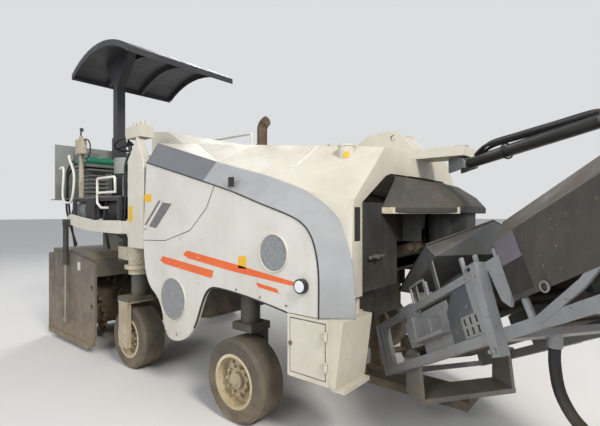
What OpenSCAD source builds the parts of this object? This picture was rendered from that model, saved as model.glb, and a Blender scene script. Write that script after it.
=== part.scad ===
// Wheeled cold planer with a front loading conveyor, built as an assembly.
// Frame: origin on the ground below the front axle, +X forward, +Y left, +Z up, millimetres.

/* [Machine] */
// Overall width over the side panels
machine_w = 2500; // [2400:10:2700]
// Thickness of the side panels
panel_t = 40; // [20:5:60]
// Distance between the machine side and the foot of the hood
arch_bevel = 150; // [120:5:170]
// Gap left between pieces that move past each other
run_gap = 8; // [6:1:12]
// Gap left between a piece and the seat that it turns or slides on
seat_gap = 0.3; // [0.1:0.1:0.5]
// Height of the operator's floor
floor_z = 1850; // [1800:10:1900]
// Thickness of the operator's floor
floor_t = 12; // [8:1:20]

/* [Wheels] */
// Outer radius of the solid tyres
tyre_r = 330; // [310:5:345]
// Width of the tyres
tyre_w = 250; // [200:10:260]
// Radius of the wheel rims
rim_r = 215; // [190:5:235]
// Radius of the wheel axles
axle_r = 45; // [35:1:55]
// Distance from the machine side to a column axis
column_inset = 190; // [180:5:210]
// Radius of the lifting columns
column_r = 80; // [60:2:85]
// Outer radius of the column sleeves
sleeve_r = 110; // [100:2:120]
// X of the rear right wheel, swung in
rear_right_x = -1750; // [-1760:5:-1720]
// X of the rear left wheel
rear_left_x = -3000; // [-3050:10:-2900]
// X of the swing arm's pin
swing_pin_x = -2050; // [-2060:5:-2030]

/* [Milling drum] */
// Cutting width of the drum
drum_w = 1200; // [1100:10:1220]
// Diameter over the pick points
drum_d = 980; // [900:10:1000]
// X of the drum axis
drum_x = -3100; // [-3120:5:-3080]
// Height of the drum axis
drum_z = 550; // [545:5:580]
// Picks along each helix
picks_per_helix = 14; // [8:1:18]
// Number of helices on each half of the drum
helices = 3; // [2:1:4]
// Thickness of the side plates
side_plate_t = 22; // [15:1:25]

/* [Discharge conveyor] */
// Length of the discharge conveyor from its tail pivot
conveyor_len = 7300; // [6000:50:7600]
// Slewing angle in which it is parked
park_slew = -36; // [-45:1:45]
// Rise of the conveyor in degrees
park_rise = 27.5; // [20:0.5:30]
// Width over the conveyor's side beams
conveyor_w = 1000; // [900:10:1020]
// Width of the discharge belt
belt_w = 600; // [500:10:640]
// X of the slewing axis
slew_x = 1350; // [1320:5:1400]
// Height of the conveyor's tail pivot
pivot_z = 500; // [480:5:540]
// Depth of the side frames, beam to rail
frame_h = 365; // [330:5:400]

/* [Canopy] */
// Length of the canopy
canopy_len = 1680; // [1500:10:1750]
// Width of the canopy
canopy_w = 1640; // [1500:10:1750]
// Height of the canopy's rim
canopy_z = 3700; // [3650:10:3800]
// Rise of the canopy's crest over its rim
canopy_rise = 245; // [200:5:300]
// Width of the square canopy post
post_w = 120; // [100:5:140]

/* [Hidden] */
$fn = 48;

side_y = machine_w / 2;
wheel_y = side_y - tyre_w / 2;
column_y = side_y - column_inset;
foot_y = side_y - arch_bevel;
skin_y = side_y - panel_t;
cream = "#d8d3c4";
grey = "#6d7176";
dark = "#2b2b2e";
steel = "#85898c";

// Helpers

// Plate standing in the XZ plane: outline of [x, z], from y0 to y1
module wall_xz(outline, y0, y1) {
  translate([0, y1, 0]) rotate([90, 0, 0]) linear_extrude(y1 - y0) polygon(outline);
}

// Block given by its low and high corners
module block(low, high) {
  translate(low) cube(high - low);
}

// Both sides of the machine
module both_sides() {
  children();
  mirror([0, 1, 0]) children();
}

// Straight round bar between two points
module bar(a, b, r, sides = 16) {
  v = b - a;
  len = norm(v);
  translate(a) rotate([0, acos(v[2] / len), atan2(v[1], v[0])]) cylinder(r = r, h = len, $fn = sides);
}

// Bent round rail through a list of points, with round knuckles at its bends
module rail(points, r) {
  for (i = [0 : len(points) - 2]) bar(points[i], points[i + 1], r);
  for (i = [1 : len(points) - 2]) translate(points[i]) sphere(r = r, $fn = 16);
}

// Solid lofted through sections that all have the same number of points
module loft(sections) {
  n = len(sections[0]);
  m = len(sections);
  points = [for (s = sections) each s];
  sides = [for (j = [0 : m - 2]) for (i = [0 : n - 1])
    let (a = j * n + i, b = j * n + (i + 1) % n)
    each [[a, b + n, b], [a, a + n, b + n]]];
  caps = [[for (i = [0 : n - 1]) i], [for (i = [n - 1 : -1 : 0]) (m - 1) * n + i]];
  polyhedron(points, concat(sides, caps), convexity = 6);
}

function lerp(a, b, t) = a + (b - a) * t;

// Side panels

// Arch beam, columns: x and z of the lower edge, x and z of the upper edge
ARCH = [
  [-1276, 2159, -1316, 2375],
  [-380, 1931, -382, 2111],
  [-12, 1833, 148, 1977],
  [299, 1734, 400, 1899],
  [546, 1660, 640, 1812],
  [682, 1605, 868, 1660],
  [769, 1526, 957, 1507],
  [819, 1409, 1004, 1343],
  [844, 1246, 1027, 1148],
  [844, 964, 1027, 964]
];

// Lower outline of a side panel, columns: x and z, from the front end of the arch beam to the rear
PANEL_FOOT = [
  [560, 964], [340, 1000], [80, 1033], [-222, 1053], [-313, 1025], [-380, 941],
  [-520, 611], [-743, 488], [-951, 512], [-1018, 829], [-1283, 981], [-1340, 1382]
];
panel_outline = concat([for (p = ARCH) [p[0], p[1]]], PANEL_FOOT);

// Round covers, columns: x, z, radius
COVERS = [[435, 1372, 147], [-821, 874, 205]];
cover_proud = 12;
BOX_X = [590, 900];
BOX_Z = [560, 960];

module side_panel_shape() {
  difference() {
    wall_xz(panel_outline, -side_y, -skin_y);
    translate([0, -side_y - 1, 0]) rotate([-90, 0, 0])
      for (c = COVERS) translate([c[0], -c[1], 0]) cylinder(r = c[2] - 18, h = panel_t + 2);
  }
  for (c = COVERS) translate([c[0], -skin_y, c[1]]) rotate([90, 0, 0]) {
    cylinder(r = c[2] - 18, h = panel_t - 10);
    difference() {
      cylinder(r = c[2], h = panel_t + cover_proud);
      translate([0, 0, -1]) cylinder(r = c[2] - 18, h = panel_t + cover_proud + 2);
    }
  }
}

module side_panels() {
  color(cream) both_sides() side_panel_shape();
}

module arch_beam_shape() {
  sections = [for (p = ARCH) [
    [p[0], -side_y, p[1]],
    [p[0], -foot_y, p[1]],
    [p[2], -foot_y, p[3]]
  ]];
  loft(sections);
}

module arch_beams() {
  color(grey) both_sides() arch_beam_shape();
}

// Hood

hood_rear_x = -1290;
hood_front_x = 340;
front_x = 1000;
shoulder_y = 630;
hood_t = 12;
hood_slope = 0.1156;
shoulder_z0 = 2272;
function shoulder_z(x) = shoulder_z0 - hood_slope * x;
// Height of the arch beam's upper edge at x, by linear interpolation
function foot_z(x) = lookup(x, [for (p = ARCH) if (p[3] > 1400) [p[2], p[3]]]);
// Hood section at x: inset from the arch beams, skin depth t taken off, and z of its open foot
function hood_section(x, inset, t, foot_drop) = [
  [x, -foot_y + inset + t, foot_z(x) - foot_drop],
  [x, foot_y - inset - t, foot_z(x) - foot_drop],
  [x, foot_y - inset - t, foot_z(x) - t],
  [x, shoulder_y - t / 2, shoulder_z(x) - t],
  [x, -shoulder_y + t / 2, shoulder_z(x) - t],
  [x, -foot_y + inset + t, foot_z(x) - t]
];
hood_lip = 40;

hood_hinge_y = [-400, 400];
hood_hinge_z = shoulder_z(hood_front_x) + 24;
hood_pin_r = 8;
// Round bar along Y from y for a length, with its axis at x and z
module knuckle(x, y, len, z, r) {
  translate([x, y + len, z]) rotate([90, 0, 0]) cylinder(r = r, h = len, $fn = 24);
}

module hood() {
  stations = [hood_rear_x, -382, 148, hood_front_x];
  color(cream) difference() {
    union() {
      loft([for (x = stations) hood_section(x, run_gap, 0, hood_lip)]);
      for (y = hood_hinge_y) {
        knuckle(hood_front_x + run_gap / 2, y - 40, 80, hood_hinge_z, 18);
        wall_xz([[hood_front_x - 70, shoulder_z(hood_front_x - 70) - 3], [hood_front_x - 6, shoulder_z(hood_front_x) - 3],
          [hood_front_x - 6, hood_hinge_z], [hood_front_x - 16, hood_hinge_z]], y - 40, y + 40);
      }
    }
    loft([for (x = [hood_rear_x + hood_t, -382, 148, hood_front_x - hood_t])
      hood_section(x, run_gap, hood_t, hood_lip + 20)]);
    for (y = hood_hinge_y) knuckle(hood_front_x + run_gap / 2, y - 41, 82, hood_hinge_z, hood_pin_r + 0.05);
  }
}

exhaust_x = -520;
exhaust_y = -400;
exhaust_r = 52;
exhaust_top = 2590;
module exhaust() {
  pipe_z = shoulder_z(exhaust_x);
  bend_r = 90;
  color("#6b5a4c") {
    translate([exhaust_x, exhaust_y, pipe_z + seat_gap]) rotate([0, atan(hood_slope), 0]) cylinder(r = exhaust_r + 18, h = 24);
    translate([exhaust_x, exhaust_y, pipe_z + 12]) cylinder(r = exhaust_r, h = exhaust_top - bend_r - pipe_z - 4);
    translate([exhaust_x + bend_r, exhaust_y, exhaust_top - bend_r + 8]) rotate([90, 0, 180])
      rotate_extrude(angle = 75) translate([bend_r, 0]) circle(r = exhaust_r);
  }
}

module front_hood() {
  stations = [hood_front_x + run_gap, 400, 640, 868, 957, front_x];
  color(cream) {
    difference() {
      loft([for (x = stations) hood_section(x, 0, 0, hood_lip)]);
      loft([for (x = [hood_front_x, 400, 640, 868, 957, front_x - hood_t])
        hood_section(x, 0, hood_t, hood_lip + 20)]);
      block([front_x - 40, -head_half - 15, 1300], [front_x + 10, head_half + 15, 1775]);
    }
    for (s = [-1, 1]) block([front_x - 60, min(s * 700, s * foot_y), cross_z[1]],
      [front_x, max(s * 700, s * foot_y), foot_z(front_x) - hood_lip]);
    for (y = hood_hinge_y) {
      for (e = [-60, 41]) hull() {
        knuckle(hood_front_x + run_gap / 2, y + e, 19, hood_hinge_z, 16);
        block([hood_front_x + 30, y + e, shoulder_z(hood_front_x + 60) - 4], [hood_front_x + 60, y + e + 19, shoulder_z(hood_front_x + 60) - 2]);
      }
      knuckle(hood_front_x + run_gap / 2, y - 60, 120, hood_hinge_z, hood_pin_r);
    }
  }
}

cowl_t = 10;
module rear_cowl() {
  profile = [
    [hood_rear_x - run_gap, floor_z], [hood_rear_x - run_gap, 2410], [-1560, 2560], [cab_front_x, 2600],
    [cab_front_x, floor_z]
  ];
  color(cream) difference() {
    wall_xz(profile, cowl_right, cab_left);
    wall_xz([[hood_rear_x - run_gap - cowl_t, floor_z - 1], [hood_rear_x - run_gap - cowl_t, 2410 - cowl_t],
      [-1560, 2560 - cowl_t], [cab_front_x + cowl_t, 2600 - cowl_t], [cab_front_x + cowl_t, floor_z - 1]], cowl_right + cowl_t, cab_left - cowl_t);
  }
}

// Gantry over the front, with the lifting eye

arm_top = 2185;
arm_bottom = 2110;
eye_x = 820;
eye_z = 2305;
eye_r = 30;
gantry_x = 380;
pin_r = 35;
module gantry() {
  gusset = [
    [gantry_x, shoulder_z(gantry_x) + seat_gap], [560, 2350], [783, 2371], [870, 2361], [1010, arm_top], [slew_x + 70, arm_top],
    [slew_x + 70, arm_bottom], [front_x, arm_bottom], [front_x, shoulder_z(front_x) + seat_gap]
  ];
  color(cream) difference() {
    union() {
      difference() {
        wall_xz(gusset, -150, 150);
        block([gantry_x - 10, -118, 2100], [900, 118, 2400]);
      }
      block([front_x, -260, 1960], [front_x + 30, 260, arm_bottom]);
    }
    translate([eye_x, 200, eye_z]) rotate([90, 0, 0]) cylinder(r = eye_r, h = 400);
    translate([slew_x, 0, arm_bottom - 1]) cylinder(r = pin_r, h = arm_top - arm_bottom + 2);
  }
}

// Frame, engine and fixed body pieces

rail_y = 730;
rail_t = 30;
cross_z = [1060, 1100];
frame_top = floor_z - floor_t;
sleeve_top = 1760;
slew_arm_z = [130, 200];
// Cross member on both sides of the frame, from the rails out to y1
module outrigger(x0, x1, z0, z1, y1) {
  both_sides() block([x0, -y1, z0], [x1, -rail_y, z1]);
}

module chassis_frame() {
  color(dark) difference() {
    union() {
      both_sides() wall_xz([[-2370, cross_z[0]], [-2370, frame_top], [-1330, frame_top], [300, 1500],
        [front_x - 60, 1400], [front_x - 60, cross_z[0]]], -rail_y, -rail_y + rail_t);
      block([-2370, -rail_y, 1200], [-2340, rail_y, frame_top]);
      block([-1000, -rail_y, 1230], [-900, rail_y, 1299]);
      block([-300, -rail_y, 1230], [-200, rail_y, 1299]);
      outrigger(-130, 130, 1070, cross_z[1], skin_y);
      outrigger(-130, 130, 1600, 1630, skin_y);
      outrigger(-1330, -1290, cross_z[1], 1130, skin_y);
      outrigger(-1330, -1290, 1700, 1740, skin_y);
      outrigger(front_x - 100, front_x - 60, cross_z[0], cross_z[1], foot_y);
      swing_ears();
      // Foot arm under the conveyor's tail, carried by a plate behind the front wheels
      block([440, -rail_y, 640], [470, rail_y, cross_z[0]]);
      both_sides() wall_xz([[440, 900], [440, cross_z[0] + 10], [520, cross_z[0] + 10], [520, 900]], -rail_y, -rail_y + rail_t);
      both_sides() wall_xz([[440, slew_arm_z[0]], [440, 700], [480, 700], [560, slew_arm_z[1]], [slew_x + 60, slew_arm_z[1]],
        [slew_x + 60, slew_arm_z[0]]], -160, -130);
      block([440, -160, slew_arm_z[0]], [slew_x + 100, 160, slew_arm_z[1]]);
    }
    for (s = [-1, 1]) translate([0, s * column_y, 1000]) cylinder(r = sleeve_r, h = 800);
    translate([slew_x, 0, slew_arm_z[0] - 1]) cylinder(r = slew_pin_r + 0.05, h = 100);
    wall_xz(primary_clear, -primary_w / 2 - 60, primary_w / 2 + 60);
  }
}

// Ears and pin that carry the swing arm, part of the frame
swing_pin_r = 40;
module swing_ears() {
  for (z = [arm_low - 31.7 - seat_gap, arm_high + seat_gap]) hull() {
    translate([swing_pin_x, -column_y, z]) cylinder(r = 75, h = 31.7, $fn = 32);
    block([swing_pin_x - 75, -rail_y, z], [swing_pin_x + 75, -rail_y + 1, z + 31.7]);
  }
  translate([swing_pin_x, -column_y, arm_low - 31]) cylinder(r = swing_pin_r, h = arm_high - arm_low + 60);
}

module engine() {
  color("#3c4046") block([-1150, -330, 1299], [-50, 330, 1940]);
}

module column_sleeves() {
  color(dark) for (p = [[0, -column_y], [0, column_y], [rear_left_x, column_y]])
    translate([p[0], p[1], sleeve_foot]) difference() {
      cylinder(r = sleeve_r, h = sleeve_top - sleeve_foot);
      translate([0, 0, -1]) cylinder(r = column_r + 0.05, h = sleeve_top - sleeve_foot - 19);
    }
}

// Corner box on the right side: shut, or open for a door
module front_corner_shape(opened) {
  color(cream) difference() {
    union() {
      block([BOX_X[0] - 20, -side_y, BOX_Z[0] - 30], [BOX_X[1] + 20, -820, BOX_Z[1]]);
      wall_xz([[BOX_X[1] + 20, 520], [BOX_X[1] + 20, BOX_Z[1]], [1020, BOX_Z[1]], [960, 520]], -side_y + 20, -860);
      if (opened) for (z = door_knuckle_z) for (e = [-26, 26])
        translate([door_axis[0], door_axis[1], z + e]) cylinder(r = 12, h = 8, center = true, $fn = 24);
      if (opened) for (z = door_knuckle_z) block([door_axis[0] - 4, door_axis[1], z - 30], [door_axis[0] + 10, -side_y + 1, z + 30]);
    }
    block([BOX_X[0], opened ? -side_y - 5 : -side_y + 20, BOX_Z[0]], [BOX_X[1], -860, BOX_Z[1] - 20]);
    if (opened) for (z = door_knuckle_z) block([door_axis[0] - 20, door_axis[1] - 20, z - 22], [door_axis[0] + 16, door_axis[1] + 12.4, z + 22]);
  }
  if (opened) color(steel) for (z = door_knuckle_z)
    translate([door_axis[0], door_axis[1], z - 29]) cylinder(r = door_pin_r, h = 58, $fn = 24);
  color(steel) block([BOX_X[1], -side_y + 50, 490], [1010, -880, 520]);
  color(cream) block([BOX_X[1] - 40, -1090, BOX_Z[1]], [front_x - 60, -900, cross_z[0]]);
}

module front_corners() {
  front_corner_shape(true);
  mirror([0, 1, 0]) front_corner_shape(false);
}

door_t = 18;
door_axis = [BOX_X[1] + 6, -side_y - 14];
door_pin_r = 6;
door_knuckle_z = [660, 860];
module tool_door() {
  color(cream) {
    block([BOX_X[0] + run_gap, -side_y - 2, BOX_Z[0] + run_gap],
      [BOX_X[1] - run_gap, -side_y - 2 + door_t, BOX_Z[1] - 20 - run_gap]);
    for (z = door_knuckle_z) difference() {
      hull() {
        translate([door_axis[0], door_axis[1], z - 20]) cylinder(r = 12, h = 40, $fn = 24);
        block([BOX_X[1] - 40, -side_y - 6, z - 20], [BOX_X[1] - 30, -side_y - 2, z + 20]);
      }
      translate([door_axis[0], door_axis[1], z - 21]) cylinder(r = door_pin_r + 0.05, h = 42, $fn = 24);
    }
  }
}

// Operator's station: ends, sides, and the side of the cowl before it
cab_rear_x = -3850;
cab_front_x = -1900;
cab_right = -side_y + 50;
cab_left = side_y - 350;
cowl_right = -side_y + 430;
module platform() {
  color(grey) {
    difference() {
      union() {
        block([cab_rear_x, cab_right, frame_top], [cab_front_x, cab_left, floor_z]);
        block([cab_front_x, cowl_right, frame_top], [-1330, cab_left, floor_z]);
      }
      block([mast_x - mast_out, mast_y - mast_out, frame_top - 1], [mast_x + mast_out, mast_y + mast_out, floor_z + 1]);
    }
    block([cab_rear_x, cab_right + 50, floor_z], [cab_rear_x + 20, cab_left - 50, 2620]);
  }
  color(cream) {
    wall_xz([[-3050, 1430], [-3050, frame_top], [-1900, frame_top], [-1900, 1480], [-2200, 1400]],
      -skin_y, -skin_y + 50);
    wall_xz([[-1640, 1420], [-1640, 2440], [-1480, 2440], [-1345, 2150], [-1345, 1420]], -side_y + 10, -side_y + 90);
    block([cab_front_x, -side_y + 90, frame_top], [-1340, cowl_right, floor_z]);
  }
}

module rear_tank() {
  color(cream) {
    difference() {
      block([tank_rear_x, tank_in_y, tank_z], [-2385, skin_y, frame_top]);
      block([tank_rear_x + sheet_t, tank_in_y + sheet_t, tank_z + sheet_t], [-2385 - sheet_t, skin_y - sheet_t, frame_top - sheet_t]);
      translate([rear_left_x, column_y, tank_z - 1]) cylinder(r = sleeve_r, h = sheet_t + 2);
    }
    difference() {
      block([-2385, rail_y, tank_z], [-1345, skin_y, frame_top]);
      block([-2385 + sheet_t, rail_y + sheet_t, tank_z + sheet_t], [-1345 - sheet_t, skin_y - sheet_t, frame_top - sheet_t]);
    }
    // Cross plates inside that hold the column sleeve
    for (z = [1290, 1650]) difference() {
      block([rear_left_x - 170, tank_in_y + sheet_t, z], [rear_left_x + 170, skin_y - sheet_t, z + 30]);
      translate([rear_left_x, column_y, z - 1]) cylinder(r = sleeve_r, h = 32);
    }
    for (x = [-170, 170]) block([rear_left_x + x - 10, tank_in_y + sheet_t, tank_z + sheet_t], [rear_left_x + x, skin_y - sheet_t, frame_top - sheet_t]);
  }
}
sheet_t = 10;
tank_z = 1250;
tank_rear_x = -3750;
tank_in_y = 90;

module handrails() {
  r = 19;
  color("#e5e4de") {
    right = cab_right + 20;
    left = cab_left - 20;
    rail([[-3300, right, floor_z], [-3300, right, 2500], [-3700, right, 2500], [-3700, right, floor_z]], r);
    rail([[-2100, right, floor_z], [-2100, right, 2300], [-1930, right, 2300], [-1930, right, floor_z]], r);
    rail([[-3700, left, floor_z], [-3700, left, 2850], [-2000, left, 2850], [-2000, left, floor_z]], r);
  }
}

seat_x = -3170;
seat_y = -side_y + 350;
seat_z = 2290;
module seat_frame() {
  color(dark) {
    for (y = [-160, 150]) block([seat_x - 180, seat_y + y, floor_z], [seat_x + 180, seat_y + y + 10, seat_z - 100]);
    block([seat_x - 180, seat_y - 150, seat_z - 115], [seat_x + 180, seat_y + 150, seat_z - 100]);
    block([seat_x - 240, seat_y - 230, seat_z - 40], [seat_x + 240, seat_y + 230, seat_z]);
    block([seat_x - 140, seat_y - 120, seat_z - 100], [seat_x + 140, seat_y + 120, seat_z - 40]);
    block([seat_x - 290, seat_y - 230, seat_z - 60], [seat_x - 240, seat_y + 230, seat_z + 480]);
  }
}

module seat_cushion() {
  color("#1f7f5c") block([seat_x - 230, seat_y - 220, seat_z + 0.3], [seat_x + 230, seat_y + 220, seat_z + 100]);
}

wheel_hub = [-2550, -side_y + 500, 2540];
wheel_tilt = 25;
module console() {
  color(grey) {
    difference() {
      translate([-2420, wheel_hub[1], floor_z]) cylinder(r = 190, h = 560);
      translate(wheel_hub) rotate([0, -wheel_tilt, 0]) translate([0, 0, -110]) cylinder(r = 400, h = 400);
      translate(wheel_hub) rotate([0, -wheel_tilt, 0]) translate([0, 0, -200]) cylinder(r = 24.05, h = 200);
    }
  }
}

module steering_wheel() {
  color("#1a1a1a") translate(wheel_hub) rotate([0, -wheel_tilt, 0]) {
    rotate_extrude($fn = 48) translate([170, 0]) circle(r = 15, $fn = 16);
    translate([0, 0, -190]) cylinder(r = 24, h = 180);
    translate([0, 0, -20]) cylinder(r = 45, h = 30);
    for (a = [90, 210, 330]) rotate([0, 0, a]) translate([0, -14, -8]) cube([168, 28, 14]);
  }
}

module control_box() {
  color(cream) block([-1720, -side_y + 20, 2440], [-1430, -side_y + 170, 2560]);
  color(dark) for (x = [-1660, -1580, -1500]) translate([x, -side_y + 95, 2560]) cylinder(r = 22, h = 60);
}

// Canopy

mast_x = -3400;
mast_y = -side_y + 800;
mast_wall = 12;
post_gap = 0.4;
mast_in = post_w / 2 + post_gap;
mast_out = mast_in + mast_wall;
mast_top = 2750;
canopy_mid_x = -3150;
canopy_mid_y = mast_y + 400;
canopy_skin = 8;
canopy_rim = 75;
module canopy_mast() {
  color(dark) difference() {
    block([mast_x - mast_out, mast_y - mast_out, 1700], [mast_x + mast_out, mast_y + mast_out, mast_top]);
    block([mast_x - mast_in, mast_y - mast_in, 1690], [mast_x + mast_in, mast_y + mast_in, mast_top + 10]);
  }
}

// Radius of the canopy's arc from its length and rise
canopy_arc_r = (canopy_len * canopy_len / 4 + canopy_rise * canopy_rise) / (2 * canopy_rise);
canopy_half_angle = asin(canopy_len / 2 / canopy_arc_r);
canopy_steps = 12;
// Points of an arc of radius r across the canopy, from its rear edge to its front edge
function canopy_arc(r) = [for (i = [0 : canopy_steps])
  let (a = lerp(-canopy_half_angle, canopy_half_angle, i / canopy_steps)) [r * sin(a), r * cos(a)]];
function reversed(list) = [for (i = [len(list) - 1 : -1 : 0]) list[i]];
// Shape drawn in the canopy's arc plane, extruded to either side of y
module canopy_slice(y, w) {
  translate([canopy_mid_x, y + w / 2, canopy_z + canopy_rise - canopy_arc_r]) rotate([90, 0, 0]) linear_extrude(w) children();
}

module canopy_post() {
  h = post_w / 2;
  color(dark) intersection() {
    union() {
      block([mast_x - h, mast_y - h, 2430], [mast_x + h, mast_y + h, canopy_z + canopy_rise]);
      wall_xz([[mast_x - h, canopy_z - 200], [mast_x - 330, canopy_z + canopy_rise], [mast_x + 430, canopy_z + canopy_rise],
        [mast_x + h, canopy_z - 200]], mast_y - h, mast_y + h);
    }
    canopy_slice(mast_y, post_w + 2) polygon(concat([[-1000, -2000]], canopy_arc(canopy_arc_r - canopy_skin), [[1000, -2000]]));
  }
}

// Ribs under the canopy, columns: y from its middle, width
CANOPY_RIBS = [[-canopy_w / 2 + 6, 12], [-canopy_w / 6, 40], [canopy_w / 6, 40], [canopy_w / 2 - 6, 12]];
module canopy_roof() {
  color("#3a3a3d") {
    canopy_slice(canopy_mid_y, canopy_w) polygon(concat(canopy_arc(canopy_arc_r), reversed(canopy_arc(canopy_arc_r - canopy_skin))));
    for (rib = CANOPY_RIBS) canopy_slice(canopy_mid_y + rib[0], rib[1])
      polygon(concat(canopy_arc(canopy_arc_r - canopy_skin), reversed(canopy_arc(canopy_arc_r - canopy_rim))));
    for (s = [-1, 1]) block([canopy_mid_x + min(s * canopy_len / 2, s * (canopy_len / 2 - 10)), canopy_mid_y - canopy_w / 2, canopy_z - canopy_rim],
      [canopy_mid_x + max(s * canopy_len / 2, s * (canopy_len / 2 - 10)), canopy_mid_y + canopy_w / 2, canopy_z]);
  }
}

// Drum housing, plates and drum

drum_right = -side_y + 60;
drum_left = drum_right + drum_w;
house_t = 20;
house_gap = 10;
house_right = drum_right - house_gap;
house_left = drum_left + house_gap;
house_front_x = -2500;
house_rear_x = -3690;
house_top = 1190;
module drum_housing() {
  profile = [[house_front_x, 130], [house_front_x, 1110], [-2600, house_top], [house_rear_x, house_top], [house_rear_x, 620]];
  hollow = [[house_front_x + 1, 60], [house_front_x + 1, 240], [house_front_x - house_t, 240],
    [house_front_x - house_t, 1080], [-2620, house_top - house_t],
    [house_rear_x + house_t, house_top - house_t], [house_rear_x + house_t, 700], [house_rear_x - 1, 700], [house_rear_x - 1, 60]];
  color(grey) {
    for (y = [house_right - house_t, house_left]) difference() {
      wall_xz([[house_front_x, 190], [house_front_x, 1110], [-2600, house_top], [house_rear_x, house_top], [house_rear_x, 190]], y, y + house_t);
      translate([drum_x, y + house_t + 1, drum_z]) rotate([90, 0, 0]) cylinder(r = drum_shaft_r + 0.08, h = house_t + 2);
    }
    block([house_rear_x, house_right, house_top - house_t], [-2600, house_left, house_top]);
    wall_xz([[house_front_x, 1110], [-2600, house_top], [-2600, house_top - house_t], [house_front_x - house_t, 1095],
      [house_front_x - house_t, 900], [house_front_x, 900]], house_right, house_left);
    block([house_rear_x, house_right, 800], [house_rear_x + house_t, house_left, house_top - house_t]);
    for (y = [-900, -500, -100]) block([-2900, y - 20, house_top], [-2370, y + 20, frame_top]);
    // Strips that the side plates slide on
    for (x = [-3600, -2600]) {
      block([x, house_right - house_t - plate_gap + seat_gap, 250], [x + 50, house_right - house_t, 1060]);
      block([x, house_left + house_t, 250], [x + 50, house_left + house_t + plate_gap - seat_gap, 1060]);
    }
    for (y = scraper_hinge_y) {
      for (e = [-75, 51]) wall_xz([[house_rear_x, door_pin_z - 20], [door_pin_x - 10, door_pin_z - 20], [door_pin_x - 22, door_pin_z],
        [door_pin_x - 10, door_pin_z + 20], [house_rear_x, door_pin_z + 60]], y + e, y + e + 24);
      knuckle(door_pin_x, y - 75, 150, door_pin_z, scraper_pin_r);
    }
  }
}

plate_gap = 6;
plate_lift = 220;
module edge_plate(y) {
  outline = [[-2390, 240], [-2390, 1080], [-3170, 1180], [-3780, 1120], [-3780, 60], [-2560, 50], [-2450, 100]];
  difference() {
    wall_xz(outline, y, y + side_plate_t);
    for (z = [560, 780]) translate([-2480, y + side_plate_t + 1, z]) rotate([90, 0, 0]) cylinder(r = 30, h = side_plate_t + 2);
  }
}

module side_plate_right() {
  color("#77736b") {
    edge_plate(house_right - house_t - plate_gap - side_plate_t);
    wall_xz([[-3760, 50.5], [-3760, 120], [-2600, 120], [-2520, 80], [-2570, 50.5]],
      house_right - house_t - plate_gap - side_plate_t - 10, house_right - house_t - plate_gap - side_plate_t);
  }
}

module side_plate_left() {
  color("#77736b") edge_plate(house_left + house_t + plate_gap);
}

door_pin_z = 880;
door_pin_x = house_rear_x - 47;
scraper_pin_r = 12;
scraper_hinge_y = [-950, -250];
module scraper_door() {
  color(grey) difference() {
    union() {
      wall_xz([[house_rear_x - 60, 120], [house_rear_x - 60, door_pin_z - 40], [house_rear_x - 35, door_pin_z - 40], [house_rear_x - 35, 120]],
        house_right + run_gap, house_left - run_gap);
      for (y = [-800, -400]) wall_xz([[house_rear_x - 120, 200], [house_rear_x - 60, 200], [house_rear_x - 60, 780], [house_rear_x - 90, 780]],
        y - 15, y + 15);
      for (y = scraper_hinge_y) {
        knuckle(door_pin_x, y - 50, 100, door_pin_z, 24);
        block([house_rear_x - 60, y - 50, door_pin_z - 60], [house_rear_x - 35, y + 50, door_pin_z - 15]);
      }
    }
    for (y = scraper_hinge_y) knuckle(door_pin_x, y - 51, 102, door_pin_z, scraper_pin_r + 0.05);
  }
}

drum_tube_r = 350;
drum_shaft_r = 100;
pick_len = 110;
pick_lean = 42;
// Distance from the drum's axis to a pick's foot, so that its tip runs on the drum's full diameter
pick_foot_r = sqrt(drum_d * drum_d / 4 - pow(pick_len * sin(pick_lean), 2)) - pick_len * cos(pick_lean);
// Pick in its holder, with X outwards from the drum's axis and Y in the cutting direction
module pick() {
  block([drum_tube_r - 10, -45, -25], [pick_foot_r + 18, 25, 25]);
  translate([pick_foot_r, 0, 0]) rotate([0, 0, pick_lean]) rotate([0, 90, 0]) cylinder(r1 = 23, r2 = 5, h = pick_len, $fn = 16);
}

module drum() {
  half = drum_w / 2;
  mid_y = (drum_right + drum_left) / 2;
  color("#55504a") translate([drum_x, mid_y, drum_z]) rotate([90, 0, 0]) {
    difference() {
      translate([0, 0, -half]) cylinder(r = drum_tube_r, h = drum_w, $fn = 64);
      translate([0, 0, -half - 1]) cylinder(r = drum_tube_r - 30, h = drum_w + 2, $fn = 64);
    }
    translate([0, 0, -half + 60]) cylinder(r = drum_tube_r - 20, h = 40);
    translate([0, 0, half - 100]) cylinder(r = drum_tube_r - 20, h = 40);
    for (z = [-half - house_gap - house_t, half - 61]) translate([0, 0, z]) cylinder(r = drum_shaft_r, h = 61 + house_gap + house_t);
    for (s = [-1, 1]) for (h = [0 : helices - 1]) for (i = [0 : picks_per_helix - 1]) {
      along = s * (half - 45) * (i + 0.5) / picks_per_helix;
      turn = h * 360 / helices + s * 30 + i * 20;
      rotate([0, 0, turn]) translate([0, 0, along]) pick();
    }
  }
}

// Wheels and their legs

module tyre(x, y) {
  color("#3a3632") translate([x, y + tyre_w / 2, tyre_r]) rotate([90, 0, 0]) difference() {
    rotate_extrude($fn = 72) polygon([
      [rim_r, 0], [tyre_r - 25, 0], [tyre_r, 25], [tyre_r, tyre_w - 25], [tyre_r - 25, tyre_w], [rim_r, tyre_w]
    ]);
  }
}

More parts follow.
